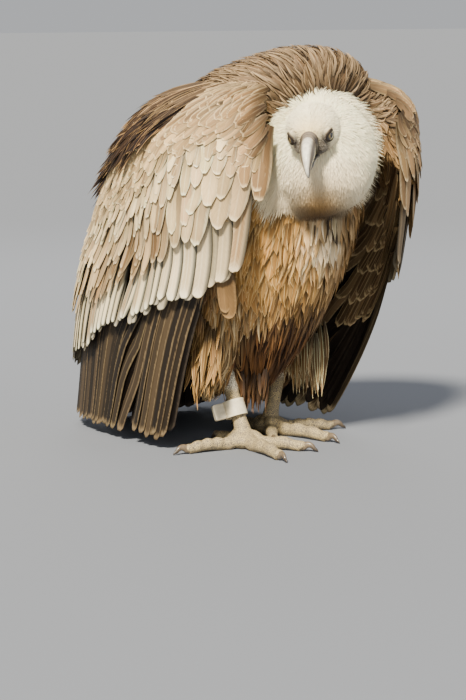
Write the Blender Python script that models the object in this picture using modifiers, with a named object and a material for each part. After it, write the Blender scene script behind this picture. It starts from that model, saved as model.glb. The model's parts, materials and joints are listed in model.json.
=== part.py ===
"""Griffon vulture, life size, standing hunched on a flat floor with its wings hanging like a cloak.

Metres, +Z up. The bird faces -Y, so its right side is at -X. The floor is z = 0 and the feet stand
either side of the origin. Each solid is the outline of the flesh or plumage that it is named for.
"""

import math

import bmesh
import bpy
import numpy as np
from mathutils import Euler, Matrix, Vector

COLLECTION = "griffon_vulture"
GAP = 0.0003  # space left between pieces that meet
ROOT_PLACE = (-0.00025, -0.02295, 0.0)  # where the floor point between the feet lies in the model's frame
RIGHT, LEFT = -1, 1

# ---- Trunk from belly to the hump of the mantle: level, front, back, half width ----
TRUNK_LEVELS = (
    (0.092, -0.020, 0.090, 0.045),
    (0.140, -0.065, 0.160, 0.070),
    (0.200, -0.110, 0.205, 0.118),
    (0.270, -0.150, 0.235, 0.150),
    (0.340, -0.178, 0.240, 0.172),
    (0.410, -0.192, 0.208, 0.182),
    (0.480, -0.198, 0.142, 0.185),
    (0.540, -0.200, 0.092, 0.180),
    (0.580, -0.202, 0.072, 0.168),
    (0.605, -0.204, 0.050, 0.155),
    (0.629, -0.203, 0.005, 0.133),
    (0.648, -0.198, -0.045, 0.100),
    (0.662, -0.185, -0.085, 0.062),
    (0.669, -0.165, -0.105, 0.030),
)
TRUNK_POWER = 2.2
TRUNK_SIDES = 18

# ---- Cloak of the two folded wings: level, half width, middle, front depth, rear depth, power ----
CLOAK_LEVELS = (
    (0.000, 0.195, 0.112, 0.185, 0.296, 3.0),
    (0.100, 0.218, 0.070, 0.190, 0.300, 3.0),
    (0.200, 0.236, 0.040, 0.196, 0.300, 3.0),
    (0.285, 0.244, 0.010, 0.196, 0.302, 2.9),
    (0.340, 0.250, -0.010, 0.190, 0.292, 2.8),
    (0.410, 0.265, -0.030, 0.185, 0.262, 2.5),
    (0.470, 0.268, -0.045, 0.180, 0.212, 2.4),
    (0.520, 0.262, -0.060, 0.165, 0.180, 2.3),
    (0.560, 0.238, -0.090, 0.140, 0.184, 2.3),
    (0.585, 0.206, -0.105, 0.110, 0.178, 2.3),
    (0.597, 0.180, -0.110, 0.090, 0.150, 2.3),
)
# Front edge of each wing, in degrees round from the middle of the back, at rising levels.
FRONT_EDGE = {
    RIGHT: ((0.00, 0.12, 0.22, 0.28, 0.34, 0.42, 0.54, 0.597), (112, 116, 124, 145, 149, 152, 153, 147)),
    LEFT: ((0.00, 0.12, 0.22, 0.28, 0.34, 0.42, 0.54, 0.597), (100, 106, 118, 134, 142, 147, 150, 138)),
}
REAR_EDGE = 30.0  # where the coverts end and the tertials begin
COVERT_FRONT, COVERT_REAR = 0.405, 0.205  # level of the small coverts' hem at the front and rear
GREATER_FRONT, GREATER_REAR = 0.310, 0.105  # level of the greater coverts' hem
FLIGHT_HEM = 0.014  # level of the secondaries' tips
COVERT_COUNT, FLIGHT_COUNT = 12, 12  # feathers that show along a wing
LAYER = 0.0085  # depth of one layer of large feathers
TUCK = 0.0032  # how far in a layer's root lies under the hem above it
SCALLOP = 0.016  # how far a feather's tip reaches past the notch between two

# ---- Head, in its own frame: x to the bird's left, y backwards, z up ----
HEAD_PLACE = (-0.0690, -0.2515, 0.533)
HEAD_TURN, HEAD_NOD, HEAD_ROLL = math.radians(-43), math.radians(16), math.radians(-6)
SKULL_RINGS = (  # forward, height of the middle, half width, half height
    (-0.058, 0.002, 0.012, 0.012),
    (-0.050, 0.003, 0.027, 0.026),
    (-0.030, 0.003, 0.038, 0.036),
    (-0.008, 0.002, 0.041, 0.037),
    (0.010, 0.001, 0.0365, 0.034),
    (0.022, -0.001, 0.0310, 0.030),
    (0.034, -0.003, 0.0235, 0.025),
    (0.042, -0.004, 0.0170, 0.0205),
)
CERE_RINGS = (
    (0.0424, -0.001, 0.0142, 0.0180),
    (0.049, -0.001, 0.0130, 0.0168),
    (0.056, -0.0018, 0.0124, 0.0156),
)
BILL_RINGS = (  # forward, height of the middle, half width, half height
    (0.0564, -0.0018, 0.0122, 0.0155),
    (0.068, -0.0030, 0.0127, 0.0148),
    (0.079, -0.0060, 0.0118, 0.0136),
    (0.088, -0.0105, 0.0100, 0.0126),
    (0.0957, -0.0170, 0.0076, 0.0108),
    (0.1000, -0.0250, 0.0050, 0.0083),
    (0.1005, -0.0325, 0.0032, 0.0052),
    (0.0985, -0.0375, 0.0018, 0.0026),
)
LOWER_BILL_RINGS = (
    (0.040, -0.0248, 0.0120, 0.0040),
    (0.060, -0.0240, 0.0098, 0.0048),
    (0.078, -0.0250, 0.0078, 0.0048),
    (0.087, -0.0284, 0.0045, 0.0034),
)
EYE_PLACE = (0.0250, -0.0225, 0.004)
EYE_RADIUS = 0.0112
NECK_PLACE, NECK_RADII = (-0.008, -0.203, 0.492), (0.096, 0.088, 0.102)

# ---- Legs: heel and foot of each, and the direction of its middle toe ----
HEELS = {RIGHT: (-0.062, -0.004, 0.122), LEFT: (0.088, 0.046, 0.128)}
FEET = {RIGHT: (-0.055, -0.048, 0.018), LEFT: (0.062, 0.044, 0.018)}
TOE_TURN = {RIGHT: 10.0, LEFT: 12.0}
OUTER_SPREAD = {RIGHT: 22.0, LEFT: 0.0}  # further swing of the outer toe, spread wide on one foot
TARSUS_RADIUS = 0.0132
TOES = (  # name, degrees outward from the middle toe, length, radius, joints
    ("outer", 60.0, 0.080, 0.0112, 4),
    ("middle", 0.0, 0.100, 0.0122, 3),
    ("inner", -44.0, 0.070, 0.0116, 2),
    ("hind", 172.0, 0.044, 0.0110, 1),
)
TOE_START = 0.0335  # from the middle of the foot to the root of a toe
CLAW_LENGTH, CLAW_RADIUS = 0.034, 0.0062
PAD_RADIUS, PAD_HEIGHT = 0.0370, 0.034
BAND_LEVEL, BAND_HEIGHT, BAND_OUTER, BAND_INNER = 0.064, 0.028, 0.0192, 0.0174
BAND_SHIFT = 0.0038  # the loose ring hangs against one side of the shank
TAB_SIZE = (0.020, 0.0110, 0.027)

# ---- Colours and surfaces of the sub-parts: colour, roughness ----
PAINTS = {
    "mantle_brown": ((0.19, 0.13, 0.08, 1.0), 0.80),
    "covert_buff": ((0.42, 0.31, 0.21, 1.0), 0.75),
    "covert_cream": ((0.66, 0.56, 0.43, 1.0), 0.72),
    "flight_black": ((0.045, 0.035, 0.028, 1.0), 0.62),
    "down_white": ((0.80, 0.74, 0.62, 1.0), 0.85),
    "bill_horn": ((0.42, 0.43, 0.44, 1.0), 0.35),
    "cere_slate": ((0.06, 0.07, 0.09, 1.0), 0.45),
    "eye_amber": ((0.22, 0.13, 0.04, 1.0), 0.08),
    "thigh_tawny": ((0.30, 0.19, 0.10, 1.0), 0.80),
    "leg_grey": ((0.40, 0.37, 0.31, 1.0), 0.60),
    "claw_dark": ((0.10, 0.09, 0.08, 1.0), 0.35),
    "band_cream": ((0.72, 0.66, 0.50, 1.0), 0.40),
}


def clear_scene():
    """Remove whatever objects the file starts with."""
    for item in list(bpy.data.objects):
        bpy.data.objects.remove(item, do_unlink=True)


def make_collection(name):
    """A new collection under the scene's own."""
    group = bpy.data.collections.new(name)
    bpy.context.scene.collection.children.link(group)
    return group


def paint(name):
    """The Principled material of that name, made on first use."""
    if name not in bpy.data.materials:
        colour, roughness = PAINTS[name]
        material = bpy.data.materials.new(name)
        material.use_nodes = True
        shader = material.node_tree.nodes["Principled BSDF"]
        shader.inputs["Base Color"].default_value = colour
        shader.inputs["Roughness"].default_value = roughness
        shader.inputs["Metallic"].default_value = 0.0
        material.diffuse_color = colour
    return bpy.data.materials[name]


def add_solid(name, verts, faces, paint_name, root):
    """One object of the model, its faces turned outward."""
    mesh = bpy.data.meshes.new(name)
    mesh.from_pydata([tuple(v) for v in verts], [], faces)
    shell = bmesh.new()
    shell.from_mesh(mesh)
    bmesh.ops.recalc_face_normals(shell, faces=shell.faces)
    bmesh.ops.triangulate(shell, faces=shell.faces)
    shell.to_mesh(mesh)
    shell.free()
    solid = bpy.data.objects.new(name, mesh)
    mesh.materials.append(paint(paint_name))
    bpy.data.collections[COLLECTION].objects.link(solid)
    solid.parent = root
    return solid


def loft(name, rings, paint_name, root):
    """A closed body through rings of equal length, each end closed by one face."""
    rings = np.asarray(rings, dtype=float)
    count, sides = rings.shape[:2]
    faces = [
        (r * sides + k, r * sides + (k + 1) % sides, (r + 1) * sides + (k + 1) % sides, (r + 1) * sides + k)
        for r in range(count - 1)
        for k in range(sides)
    ]
    faces.append(tuple(range(sides)))
    faces.append(tuple((count - 1) * sides + k for k in range(sides)))
    return add_solid(name, rings.reshape(-1, 3), faces, paint_name, root)


def cut_by(solid, others, space=GAP):
    """Take the others, each grown by the gap, out of the solid."""
    for other in others:
        cutter = other.copy()
        cutter.data = other.data.copy()
        cutter.modifiers.clear()
        cutter.name = f"cut_{solid.name}_{other.name}"
        bpy.data.collections["cutters"].objects.link(cutter)
        cutter.hide_render = True
        cutter.display_type = "WIRE"
        grow = cutter.modifiers.new("grow", "DISPLACE")
        grow.strength = space
        grow.mid_level = 0.0
        cut = solid.modifiers.new(f"cut_{other.name}", "BOOLEAN")
        cut.operation = "DIFFERENCE"
        cut.solver = "EXACT"
        cut.object = cutter


def superellipse(angles, power):
    """Unit superellipse: sine and cosine raised to two over the power, signs kept."""
    s, c = np.sin(angles), np.cos(angles)
    return np.sign(s) * np.abs(s) ** (2 / power), np.sign(c) * np.abs(c) ** (2 / power)


# ------------------------------------------------------------------ trunk, neck, head


def make_trunk(root):
    """Body under the wings, with the shaggy hump of the mantle on top."""
    angles = np.linspace(0, 2 * math.pi, TRUNK_SIDES, endpoint=False)
    across, along = superellipse(angles, TRUNK_POWER)
    rings = []
    for level, front, back, half in TRUNK_LEVELS:
        middle, depth = (front + back) / 2, (back - front) / 2
        rings.append(np.column_stack([half * across, middle + depth * along, np.full(TRUNK_SIDES, level)]))
    return loft("trunk", rings, "mantle_brown", root)


def make_neck(root):
    """Ball of white down that the drawn-in neck makes."""
    count, sides = 7, 16
    angles = np.linspace(0, 2 * math.pi, sides, endpoint=False)
    rings = []
    for k in range(count):
        lift = math.radians(-80 + 160 * k / (count - 1))
        ring = np.column_stack([
            np.sin(angles) * math.cos(lift), np.cos(angles) * math.cos(lift), np.full(sides, math.sin(lift))
        ])
        rings.append(ring * NECK_RADII + NECK_PLACE)
    return loft("neck", rings, "down_white", root)


def head_frame():
    """Matrix from the head's own frame to the model's."""
    turn = Matrix.Rotation(HEAD_TURN, 4, "Z") @ Matrix.Rotation(HEAD_NOD, 4, "X")
    return Matrix.Translation(HEAD_PLACE) @ turn @ Matrix.Rotation(HEAD_ROLL, 4, "Y")


def head_loft(name, rows, paint_name, root, power=2.0, sides=12):
    """Loft of upright ellipses along the head's forward axis."""
    angles = np.linspace(0, 2 * math.pi, sides, endpoint=False)
    across, upward = superellipse(angles, power)
    rings = [
        np.column_stack([half * across, np.full(sides, -forward), height + tall * upward])
        for forward, height, half, tall in rows
    ]
    solid = loft(name, rings, paint_name, root)
    solid.matrix_local = head_frame()
    return solid


def hook_loft(name, rows, paint_name, root, sides=12):
    """Upper bill: ellipses whose planes turn downward towards the hook."""
    angles = np.linspace(0, 2 * math.pi, sides, endpoint=False)
    middles = np.array([(0.0, -row[0], row[1]) for row in rows])
    ways = np.gradient(middles, axis=0)
    ways[0] = (0, -1, 0)
    ways /= np.linalg.norm(ways, axis=1)[:, None]
    rings = []
    for middle, way, (_, _, half, tall) in zip(middles, ways, rows):
        up = np.cross((1, 0, 0), way)
        up *= np.sign(up[2] - up[1])
        ring = middle + np.outer(half * np.sin(angles), (1, 0, 0)) + np.outer(tall * np.cos(angles), up)
        rings.append(ring)
    solid = loft(name, rings, paint_name, root)
    solid.matrix_local = head_frame()
    return solid


def make_eye(name, side, root):
    """Eyeball set in the side of the skull."""
    ball = bmesh.new()
    bmesh.ops.create_uvsphere(ball, u_segments=12, v_segments=6, radius=EYE_RADIUS)
    mesh = bpy.data.meshes.new(name)
    ball.to_mesh(mesh)
    ball.free()
    mesh.materials.append(paint("eye_amber"))
    eye = bpy.data.objects.new(name, mesh)
    bpy.data.collections[COLLECTION].objects.link(eye)
    eye.parent = root
    place = Matrix.Translation((side * EYE_PLACE[0], EYE_PLACE[1], EYE_PLACE[2]))
    eye.matrix_local = head_frame() @ place @ Matrix.Rotation(math.radians(90), 4, "Y")
    return eye


# ------------------------------------------------------------------ wings and tail


def cloak_point(side, degrees, level, inward):
    """Points of a wing's outer face, moved inward along the level's own normal."""
    table = np.array(CLOAK_LEVELS)
    half, middle, front, rear, power = (np.interp(level, table[:, 0], table[:, k]) for k in range(1, 6))
    angle = np.radians(degrees)
    s, c = np.abs(np.sin(angle)), np.cos(angle)
    depth = np.where(c > 0, rear, front)
    x = half * s ** (2 / power)
    y = np.sign(c) * np.abs(c) ** (2 / power) * depth
    nx = (x / half) ** (power - 1) / half
    ny = np.sign(c) * (np.abs(y) / depth) ** (power - 1) / depth
    size = np.hypot(nx, ny)
    return np.stack([side * (x - inward * nx / size), middle + y - inward * ny / size, level], axis=-1)


def hem(fraction, front, rear):
    """Level of a hem that falls from the front edge to the rear."""
    return rear + (front - rear) * fraction


def scallops(fraction, count):
    """Row of rounded feather tips: 0 at each notch, 1 at the middle of each tip."""
    return np.abs(np.sin(math.pi * fraction * count)) ** 0.6


def shell(name, outer, inner, paint_name, root):
    """Closed body between two grids of points with the same rows and columns."""
    rows, columns = outer.shape[:2]
    grid = np.arange(rows * columns).reshape(rows, columns)
    other = grid + rows * columns
    faces = []
    for r in range(rows - 1):
        for c in range(columns - 1):
            faces.append((grid[r, c], grid[r, c + 1], grid[r + 1, c + 1], grid[r + 1, c]))
            faces.append((other[r, c], other[r + 1, c], other[r + 1, c + 1], other[r, c + 1]))
    border = [*grid[0, :-1], *grid[:-1, -1], *grid[-1, :0:-1], *grid[:0:-1, 0]]
    twin = [*other[0, :-1], *other[:-1, -1], *other[-1, :0:-1], *other[:0:-1, 0]]
    for k, (a, b) in enumerate(zip(border, twin)):
        after = (k + 1) % len(border)
        faces.append((a, b, twin[after], border[after]))
    verts = np.concatenate([outer.reshape(-1, 3), inner.reshape(-1, 3)])
    return add_solid(name, verts, [tuple(int(v) for v in face) for face in faces], paint_name, root)


def wing_grid(side, fractions, tops, bottoms, rows, inward, lean=0.0):
    """Points down a wing: fraction 0 at the rear edge to 1 at the front edge of each level."""
    edge_levels, edge_degrees = FRONT_EDGE[side]
    grid = []
    for step in np.linspace(0, 1, rows):
        level = tops + (bottoms - tops) * step
        front = np.interp(level, edge_levels, edge_degrees)
        degrees = REAR_EDGE + (front - REAR_EDGE) * fractions - lean * step
        depth = inward[0] + (inward[1] - inward[0]) * step
        grid.append(cloak_point(side, degrees, level, depth))
    return np.array(grid)


def make_shoulder(name, side, root):
    """Upper wing: the wrist, forearm and small coverts, solid in to the trunk."""
    fractions = np.linspace(0, 1, 14)
    hems = hem(fractions, COVERT_FRONT, COVERT_REAR)
    steps = (0.0, 0.14, 0.32, 0.52, 0.72, 0.86, 1.0)
    tops = np.full(fractions.shape, CLOAK_LEVELS[-1][0])
    outer, inner = [], []
    cores = (0.45, 0.45, 0.42, 0.24, 0.0, 0.0, 0.0)
    for step, core in zip(steps, cores):
        level = tops + (hems - tops) * step
        front = np.interp(level, *FRONT_EDGE[side])
        degrees = REAR_EDGE + (front - REAR_EDGE) * fractions
        outer.append(cloak_point(side, degrees, level, 0.0))
        lining = cloak_point(side, degrees, level, LAYER)
        lining[:, :2] += (np.array((0.0, -0.02)) - lining[:, :2]) * core
        inner.append(lining)
    return shell(name, np.array(outer), np.array(inner), "covert_buff", root)


def make_coverts(name, side, root):
    """Greater coverts: a row of broad pale feathers under the hem of the small ones."""
    fractions = np.linspace(0, 1, COVERT_COUNT * 3 + 1)
    tops = hem(fractions, COVERT_FRONT, COVERT_REAR) + 0.020
    bottoms = hem(fractions, GREATER_FRONT, GREATER_REAR) - SCALLOP * scallops(fractions, COVERT_COUNT)
    outer = wing_grid(side, fractions, tops, bottoms, 3, (LAYER + TUCK, LAYER))
    inner = wing_grid(side, fractions, tops, bottoms, 3, (2 * LAYER, 2 * LAYER))
    return shell(name, outer, inner, "covert_cream", root)


def make_secondaries(name, side, root):
    """Secondaries: long dark feathers hanging from under the greater coverts to the hem."""
    fractions = np.linspace(0, 1, FLIGHT_COUNT * 3 + 1)
    tops = hem(fractions, GREATER_FRONT, GREATER_REAR) + 0.030
    bottoms = FLIGHT_HEM + 0.016 - SCALLOP * scallops(fractions, FLIGHT_COUNT)
    rib = 0.003 * (1 - scallops(fractions, FLIGHT_COUNT))
    outer = wing_grid(side, fractions, tops, bottoms, 3, (2 * LAYER + TUCK, 2 * LAYER + rib))
    inner = wing_grid(side, fractions, tops, bottoms, 3, (3 * LAYER + 0.001, 3 * LAYER))
    return shell(name, outer, inner, "flight_black", root)


def make_primaries(name, side, root):
    """Primaries: the wing's point, folded inside the secondaries and laid to the floor behind."""
    fractions = np.linspace(0, 1, 13)
    degrees_top, degrees_floor = 40 + 34 * fractions, 34 + 18 * fractions
    outer, inner = [], []
    for step in (0.0, 0.5, 1.0):
        level = np.full(fractions.shape, 0.22 * (1 - step))
        degrees = degrees_top + (degrees_floor - degrees_top) * step
        outer.append(cloak_point(side, degrees, level, 3 * LAYER + 2 * TUCK))
        inner.append(cloak_point(side, degrees, level, 4.2 * LAYER + 2 * TUCK))
    return shell(name, np.array(outer), np.array(inner), "flight_black", root)


def make_scapulars(name, side, root):
    """Scapulars: dark ragged feathers that run from the mantle over the back of the wing."""
    columns = np.linspace(0, 1, 13)
    outer, inner = [], []
    for step in np.linspace(0, 1, 5):
        bottom = 0.285 + 0.150 * columns - 0.5 * SCALLOP * (1 - scallops(columns, 6))
        level = 0.575 + (bottom - 0.575) * step
        degrees = 0.05 + 58 * columns
        outer.append(cloak_point(side, degrees, level, -LAYER - TUCK))
        inner.append(cloak_point(side, degrees, level, -TUCK))
    return shell(name, np.array(outer), np.array(inner), "mantle_brown", root)


def make_tertials(name, side, root):
    """Tertials: broad inner feathers that close the cloak over the rump."""
    columns = np.linspace(0, 1, 10)
    outer, inner = [], []
    for step in np.linspace(0, 1, 6):
        bottom = 0.110 - SCALLOP * scallops(columns, 3)
        level = 0.460 + (bottom - 0.460) * step
        degrees = 0.05 + (REAR_EDGE - 1.80) * columns
        tuck = 2 * TUCK * max(1 - 2 * step, 0)
        outer.append(cloak_point(side, degrees, level, tuck))
        inner.append(cloak_point(side, degrees, level, 1.6 * LAYER + tuck))
    return shell(name, np.array(outer), np.array(inner), "flight_black", root)


TAIL_ROWS = (  # back, height, half width, half thickness
    (0.175, 0.260, 0.034, 0.012),
    (0.235, 0.170, 0.052, 0.010),
    (0.283, 0.085, 0.070, 0.008),
    (0.318, 0.000, 0.086, 0.006),
)


def make_tail(root):
    """Square tail, pressed down to the floor between the wing points."""
    columns = np.linspace(-1, 1, 9)
    outer, inner = [], []
    for back, height, half, thick in TAIL_ROWS:
        arch = 0.018 * (1 - columns**2)
        level = np.full(columns.shape, height)
        outer.append(np.column_stack([half * columns, back + thick + arch, level]))
        inner.append(np.column_stack([half * columns, back - thick + arch, level]))
    return shell("tail", np.array(outer), np.array(inner), "flight_black", root)


# ------------------------------------------------------------------ legs


def tube(points, radii, sides, flatten=None, ends=None):
    """Rings round a path, the end ones square to a given way; none goes below the flatten level."""
    points = np.asarray(points, dtype=float)
    ways = np.gradient(points, axis=0)
    if ends is not None:
        ways[0] = ways[-1] = ends
    ways /= np.linalg.norm(ways, axis=1)[:, None]
    angles = np.linspace(0, 2 * math.pi, sides, endpoint=False)
    rings = []
    for point, way, radius in zip(points, ways, radii):
        level = np.cross(way, (0, 0, 1.0))
        if np.linalg.norm(level) < 0.3:
            level = np.cross(way, (0, 1.0, 0))
        level /= np.linalg.norm(level)
        up = np.cross(level, way)
        wide, tall = radius if np.ndim(radius) else (radius, radius)
        ring = point + np.outer(wide * np.sin(angles), level) + np.outer(tall * np.cos(angles), up)
        if flatten is not None:
            ring[:, 2] = np.maximum(ring[:, 2], flatten)
        rings.append(ring)
    return rings


def make_thigh(name, side, root):
    """Shaggy trousers of the upper leg, longest behind the heel."""
    heel = np.array(HEELS[side])
    top = np.array((side * 0.070, heel[1] - 0.005, 0.300))
    middle = np.array((side * 0.082, heel[1] + 0.004, 0.215))
    low = heel + (side * 0.010, 0.012, 0.018)
    tip = heel + (side * 0.020, 0.032, -0.055)
    radii = ((0.050, 0.062), (0.052, 0.064), (0.036, 0.040), (0.012, 0.014))
    return loft(name, tube((top, middle, low, tip), radii, 16), "thigh_tawny", root)


def make_tarsus(name, side, root):
    """Bare scaly shank from the heel to the foot."""
    heel, foot = np.array(HEELS[side]), np.array(FEET[side])
    stations = ((-0.10, 1.05), (0.0, 1.38), (0.14, 1.12), (0.35, 0.98), (0.75, 0.98), (0.94, 1.15))
    points = [heel + (foot - heel) * t for t, _ in stations]
    return loft(name, tube(points, [TARSUS_RADIUS * r for _, r in stations], 14), "leg_grey", root)


def toe_way(side, label, outward):
    """Unit direction on the floor of a toe so many degrees outward of straight ahead."""
    angle = math.radians(TOE_TURN[side] + outward + (OUTER_SPREAD[side] if label == "outer" else 0.0))
    return np.array((side * math.sin(angle), -math.cos(angle), 0.0))


def make_toe(side, place, root):
    """One toe, arched at its joints, with flat pads on the floor."""
    label, outward, length, radius, joints = TOES[place]
    way, foot = toe_way(side, label, outward), np.array(FEET[side]) * (1, 1, 0)
    steps = np.linspace(0, 1, 2 * joints + 1)
    bulge = 1 + 0.13 * np.cos(2 * math.pi * joints * steps)
    taper = 1.0 - 0.22 * steps
    points, radii = [], []
    for step, swell, thin in zip(steps, bulge, taper):
        tall = radius * swell * thin
        height = tall * 0.80 + 0.004 * math.sin(math.pi * step)
        points.append(foot + way * (TOE_START + length * step) + (0, 0, height))
        radii.append((tall, tall))
    side_name = "right" if side == RIGHT else "left"
    return loft(f"toe_{side_name}_{label}", tube(points, radii, 9, 0.0, way), "leg_grey", root)


def make_claw(side, place, root):
    """Curved claw at a toe's end, its point just clear of the floor."""
    label, outward, length, radius, _ = TOES[place]
    way, foot = toe_way(side, label, outward), np.array(FEET[side]) * (1, 1, 0)
    start = TOE_START + length + GAP
    points, radii = [], []
    for step in np.linspace(0, 1, 5):
        turn = math.radians(75) * step
        ahead = CLAW_LENGTH * 0.80 * math.sin(turn)
        height = 0.0085 + 0.004 * math.sin(math.pi * min(step * 1.6, 1)) - 0.0075 * step**2
        points.append(foot + way * (start + ahead) + (0, 0, height))
        thick = CLAW_RADIUS * (1 - step) ** 0.8 + 0.0009
        radii.append((thick * 0.8, thick))
    side_name = "right" if side == RIGHT else "left"
    rings = tube(points, radii, 7, 0.0)
    rings[0] = tube((points[0], points[0] + way), radii[:2], 7, 0.0)[0]
    return loft(f"claw_{side_name}_{label}", rings, "claw_dark", root)


def make_foot(name, side, root):
    """Palm of the foot, flat underneath, where the toes meet the shank."""
    place = np.array(FEET[side]) * (1, 1, 0)
    angles = np.linspace(0, 2 * math.pi, 12, endpoint=False)
    rings = []
    for height, width in ((0.0, 0.80), (0.008, 1.0), (0.018, 0.92), (PAD_HEIGHT, 0.46)):
        radius = PAD_RADIUS * width
        ring = np.column_stack([radius * np.sin(angles), radius * np.cos(angles), np.full(12, height)])
        rings.append(ring + place)
    return loft(name, rings, "leg_grey", root)


def shank_frame(side, level):
    """Matrix whose z axis runs up the shank, with its origin on the shank at that level."""
    heel, foot = Vector(HEELS[side]), Vector(FEET[side])
    up = (heel - foot).normalized()
    place = foot + up * ((level - foot.z) / up.z)
    across = Vector((0, 1, 0)).cross(up).normalized()
    turn = Matrix((across, up.cross(across), up)).transposed()
    return Matrix.Translation(place) @ turn.to_4x4()


def make_band(root):
    """Split plastic ring on the right shank and the folded tab that closes it."""
    angles = np.linspace(0, 2 * math.pi, 20, endpoint=False)
    half = BAND_HEIGHT / 2
    profile = ((BAND_INNER, -half), (BAND_OUTER, -half), (BAND_OUTER, half), (BAND_INNER, half))
    verts = [(r * math.sin(a), r * math.cos(a), z) for a in angles for r, z in profile]
    faces = []
    for k in range(20):
        for j in range(4):
            here, after = k * 4, ((k + 1) % 20) * 4
            faces.append((here + j, here + (j + 1) % 4, after + (j + 1) % 4, after + j))
    band = add_solid("leg_band", verts, faces, "band_cream", root)
    hung = shank_frame(RIGHT, BAND_LEVEL) @ Matrix.Translation((-BAND_SHIFT, 0, 0))
    band.matrix_local = hung
    wide, deep, tall = TAB_SIZE
    corners = [(x * wide / 2, y * deep / 2, z * tall / 2) for x in (-1, 1) for y in (-1, 1) for z in (-1, 1)]
    sides = [(0, 1, 3, 2), (4, 6, 7, 5), (0, 4, 5, 1), (2, 3, 7, 6), (0, 2, 6, 4), (1, 5, 7, 3)]
    tab = add_solid("leg_band_tab", corners, sides, "band_cream", root)
    out = Matrix.Translation((-BAND_OUTER - wide / 2 + 0.0012, 0.0, 0.0))
    tab.matrix_local = hung @ Matrix.Rotation(math.radians(-15), 4, "Z") @ out
    edge = tab.modifiers.new("round", "BEVEL")
    edge.width, edge.segments = 0.0015, 1
    cut_by(tab, [band])
    return band, tab


# ------------------------------------------------------------------ the whole bird


def build():
    """Make every sub-part and leave the gaps between those that meet."""
    clear_scene()
    make_collection(COLLECTION)
    cutters = make_collection("cutters")
    cutters.hide_render = True
    root = bpy.data.objects.new("vulture_root", None)
    root.location = ROOT_PLACE
    bpy.data.collections[COLLECTION].objects.link(root)

    trunk, neck = make_trunk(root), make_neck(root)
    head = head_loft("head", SKULL_RINGS, "down_white", root)
    cere = head_loft("cere", CERE_RINGS, "cere_slate", root, 2.4, 12)
    bill_upper = hook_loft("bill_upper", BILL_RINGS, "bill_horn", root)
    bill_lower = head_loft("bill_lower", LOWER_BILL_RINGS, "bill_horn", root, 2.0, 10)
    eyes = [make_eye("eye_right", RIGHT, root), make_eye("eye_left", LEFT, root)]
    cut_by(head, [*eyes, bill_lower, cere])
    cut_by(cere, [bill_lower])
    cut_by(neck, [head])
    cut_by(trunk, [neck])

    for side, word in ((RIGHT, "right"), (LEFT, "left")):
        shoulder = make_shoulder(f"wing_{word}_shoulder", side, root)
        cut_by(shoulder, [trunk, neck])
        make_coverts(f"wing_{word}_coverts", side, root)
        make_secondaries(f"wing_{word}_secondaries", side, root)
        make_primaries(f"wing_{word}_primaries", side, root)
        scapulars = make_scapulars(f"wing_{word}_scapulars", side, root)
        tertials = make_tertials(f"wing_{word}_tertials", side, root)
        cut_by(scapulars, [trunk])
        cut_by(tertials, [trunk])
        tarsus = make_tarsus(f"tarsus_{word}", side, root)
        thigh = make_thigh(f"thigh_{word}", side, root)
        foot = make_foot(f"foot_{word}", side, root)
        toes = [make_toe(side, place, root) for place in range(len(TOES))]
        for place in range(len(TOES)):
            make_claw(side, place, root)
        cut_by(trunk, [tarsus])
        cut_by(thigh, [trunk, tarsus])
        cut_by(foot, [*toes, tarsus])
    tail = make_tail(root)
    cut_by(tail, [trunk])
    make_band(root)


build()
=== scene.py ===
# %% [markdown]
# # A griffon vulture in feather, down, scale and horn
# The bird stands hunched, its neck drawn into a ball of down and its wings hanging like a cloak.
# The frame gives the solid shapes. This lesson dresses them: one skin under everything, then
# feathers and down as thin mesh that lies along the body, then bill, eyes, scaly feet and claws.
# Everything is measured from the frame, so each piece is made straight in its place.

# %% Frame and measures
import json
import math
from functools import partial

import bmesh
import bpy
import numpy as np
from mathutils import Matrix, Vector
from mathutils.bvhtree import BVHTree


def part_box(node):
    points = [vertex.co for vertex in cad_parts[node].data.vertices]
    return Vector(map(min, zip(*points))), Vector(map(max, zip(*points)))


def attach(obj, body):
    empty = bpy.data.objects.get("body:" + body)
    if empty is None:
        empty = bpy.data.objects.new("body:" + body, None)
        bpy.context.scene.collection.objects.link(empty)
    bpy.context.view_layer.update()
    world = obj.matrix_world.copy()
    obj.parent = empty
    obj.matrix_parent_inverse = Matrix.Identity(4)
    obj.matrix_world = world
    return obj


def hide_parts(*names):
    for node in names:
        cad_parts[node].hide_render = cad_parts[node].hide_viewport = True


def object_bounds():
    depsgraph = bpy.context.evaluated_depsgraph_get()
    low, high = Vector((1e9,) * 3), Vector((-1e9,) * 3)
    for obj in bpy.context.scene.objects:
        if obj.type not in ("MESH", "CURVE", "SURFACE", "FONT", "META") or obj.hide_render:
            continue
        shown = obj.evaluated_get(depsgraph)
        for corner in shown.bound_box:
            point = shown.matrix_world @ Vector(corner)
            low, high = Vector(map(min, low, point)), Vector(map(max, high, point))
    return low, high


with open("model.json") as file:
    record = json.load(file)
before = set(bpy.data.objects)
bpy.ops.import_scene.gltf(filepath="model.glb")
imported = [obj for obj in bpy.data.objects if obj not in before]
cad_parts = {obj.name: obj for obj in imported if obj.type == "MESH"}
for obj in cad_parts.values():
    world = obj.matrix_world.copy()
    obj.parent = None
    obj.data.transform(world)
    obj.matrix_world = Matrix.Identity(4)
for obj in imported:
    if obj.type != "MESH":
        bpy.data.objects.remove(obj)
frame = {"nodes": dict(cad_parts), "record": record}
CAD_BOX = [list(map(float, corner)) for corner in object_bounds()]
RIGHT, LEFT = -1, 1
WORDS = {RIGHT: "right", LEFT: "left"}
SOLE = {m["name"]: m["pos_m"] for m in frame["record"]["mounts"]}
PLACE = np.array(SOLE["right_sole"]) - (-0.055, -0.048, 0.0)  # the floor point between the feet
RNG = np.random.default_rng(20)
print("frame", CAD_BOX, "place", PLACE.round(4))


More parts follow.
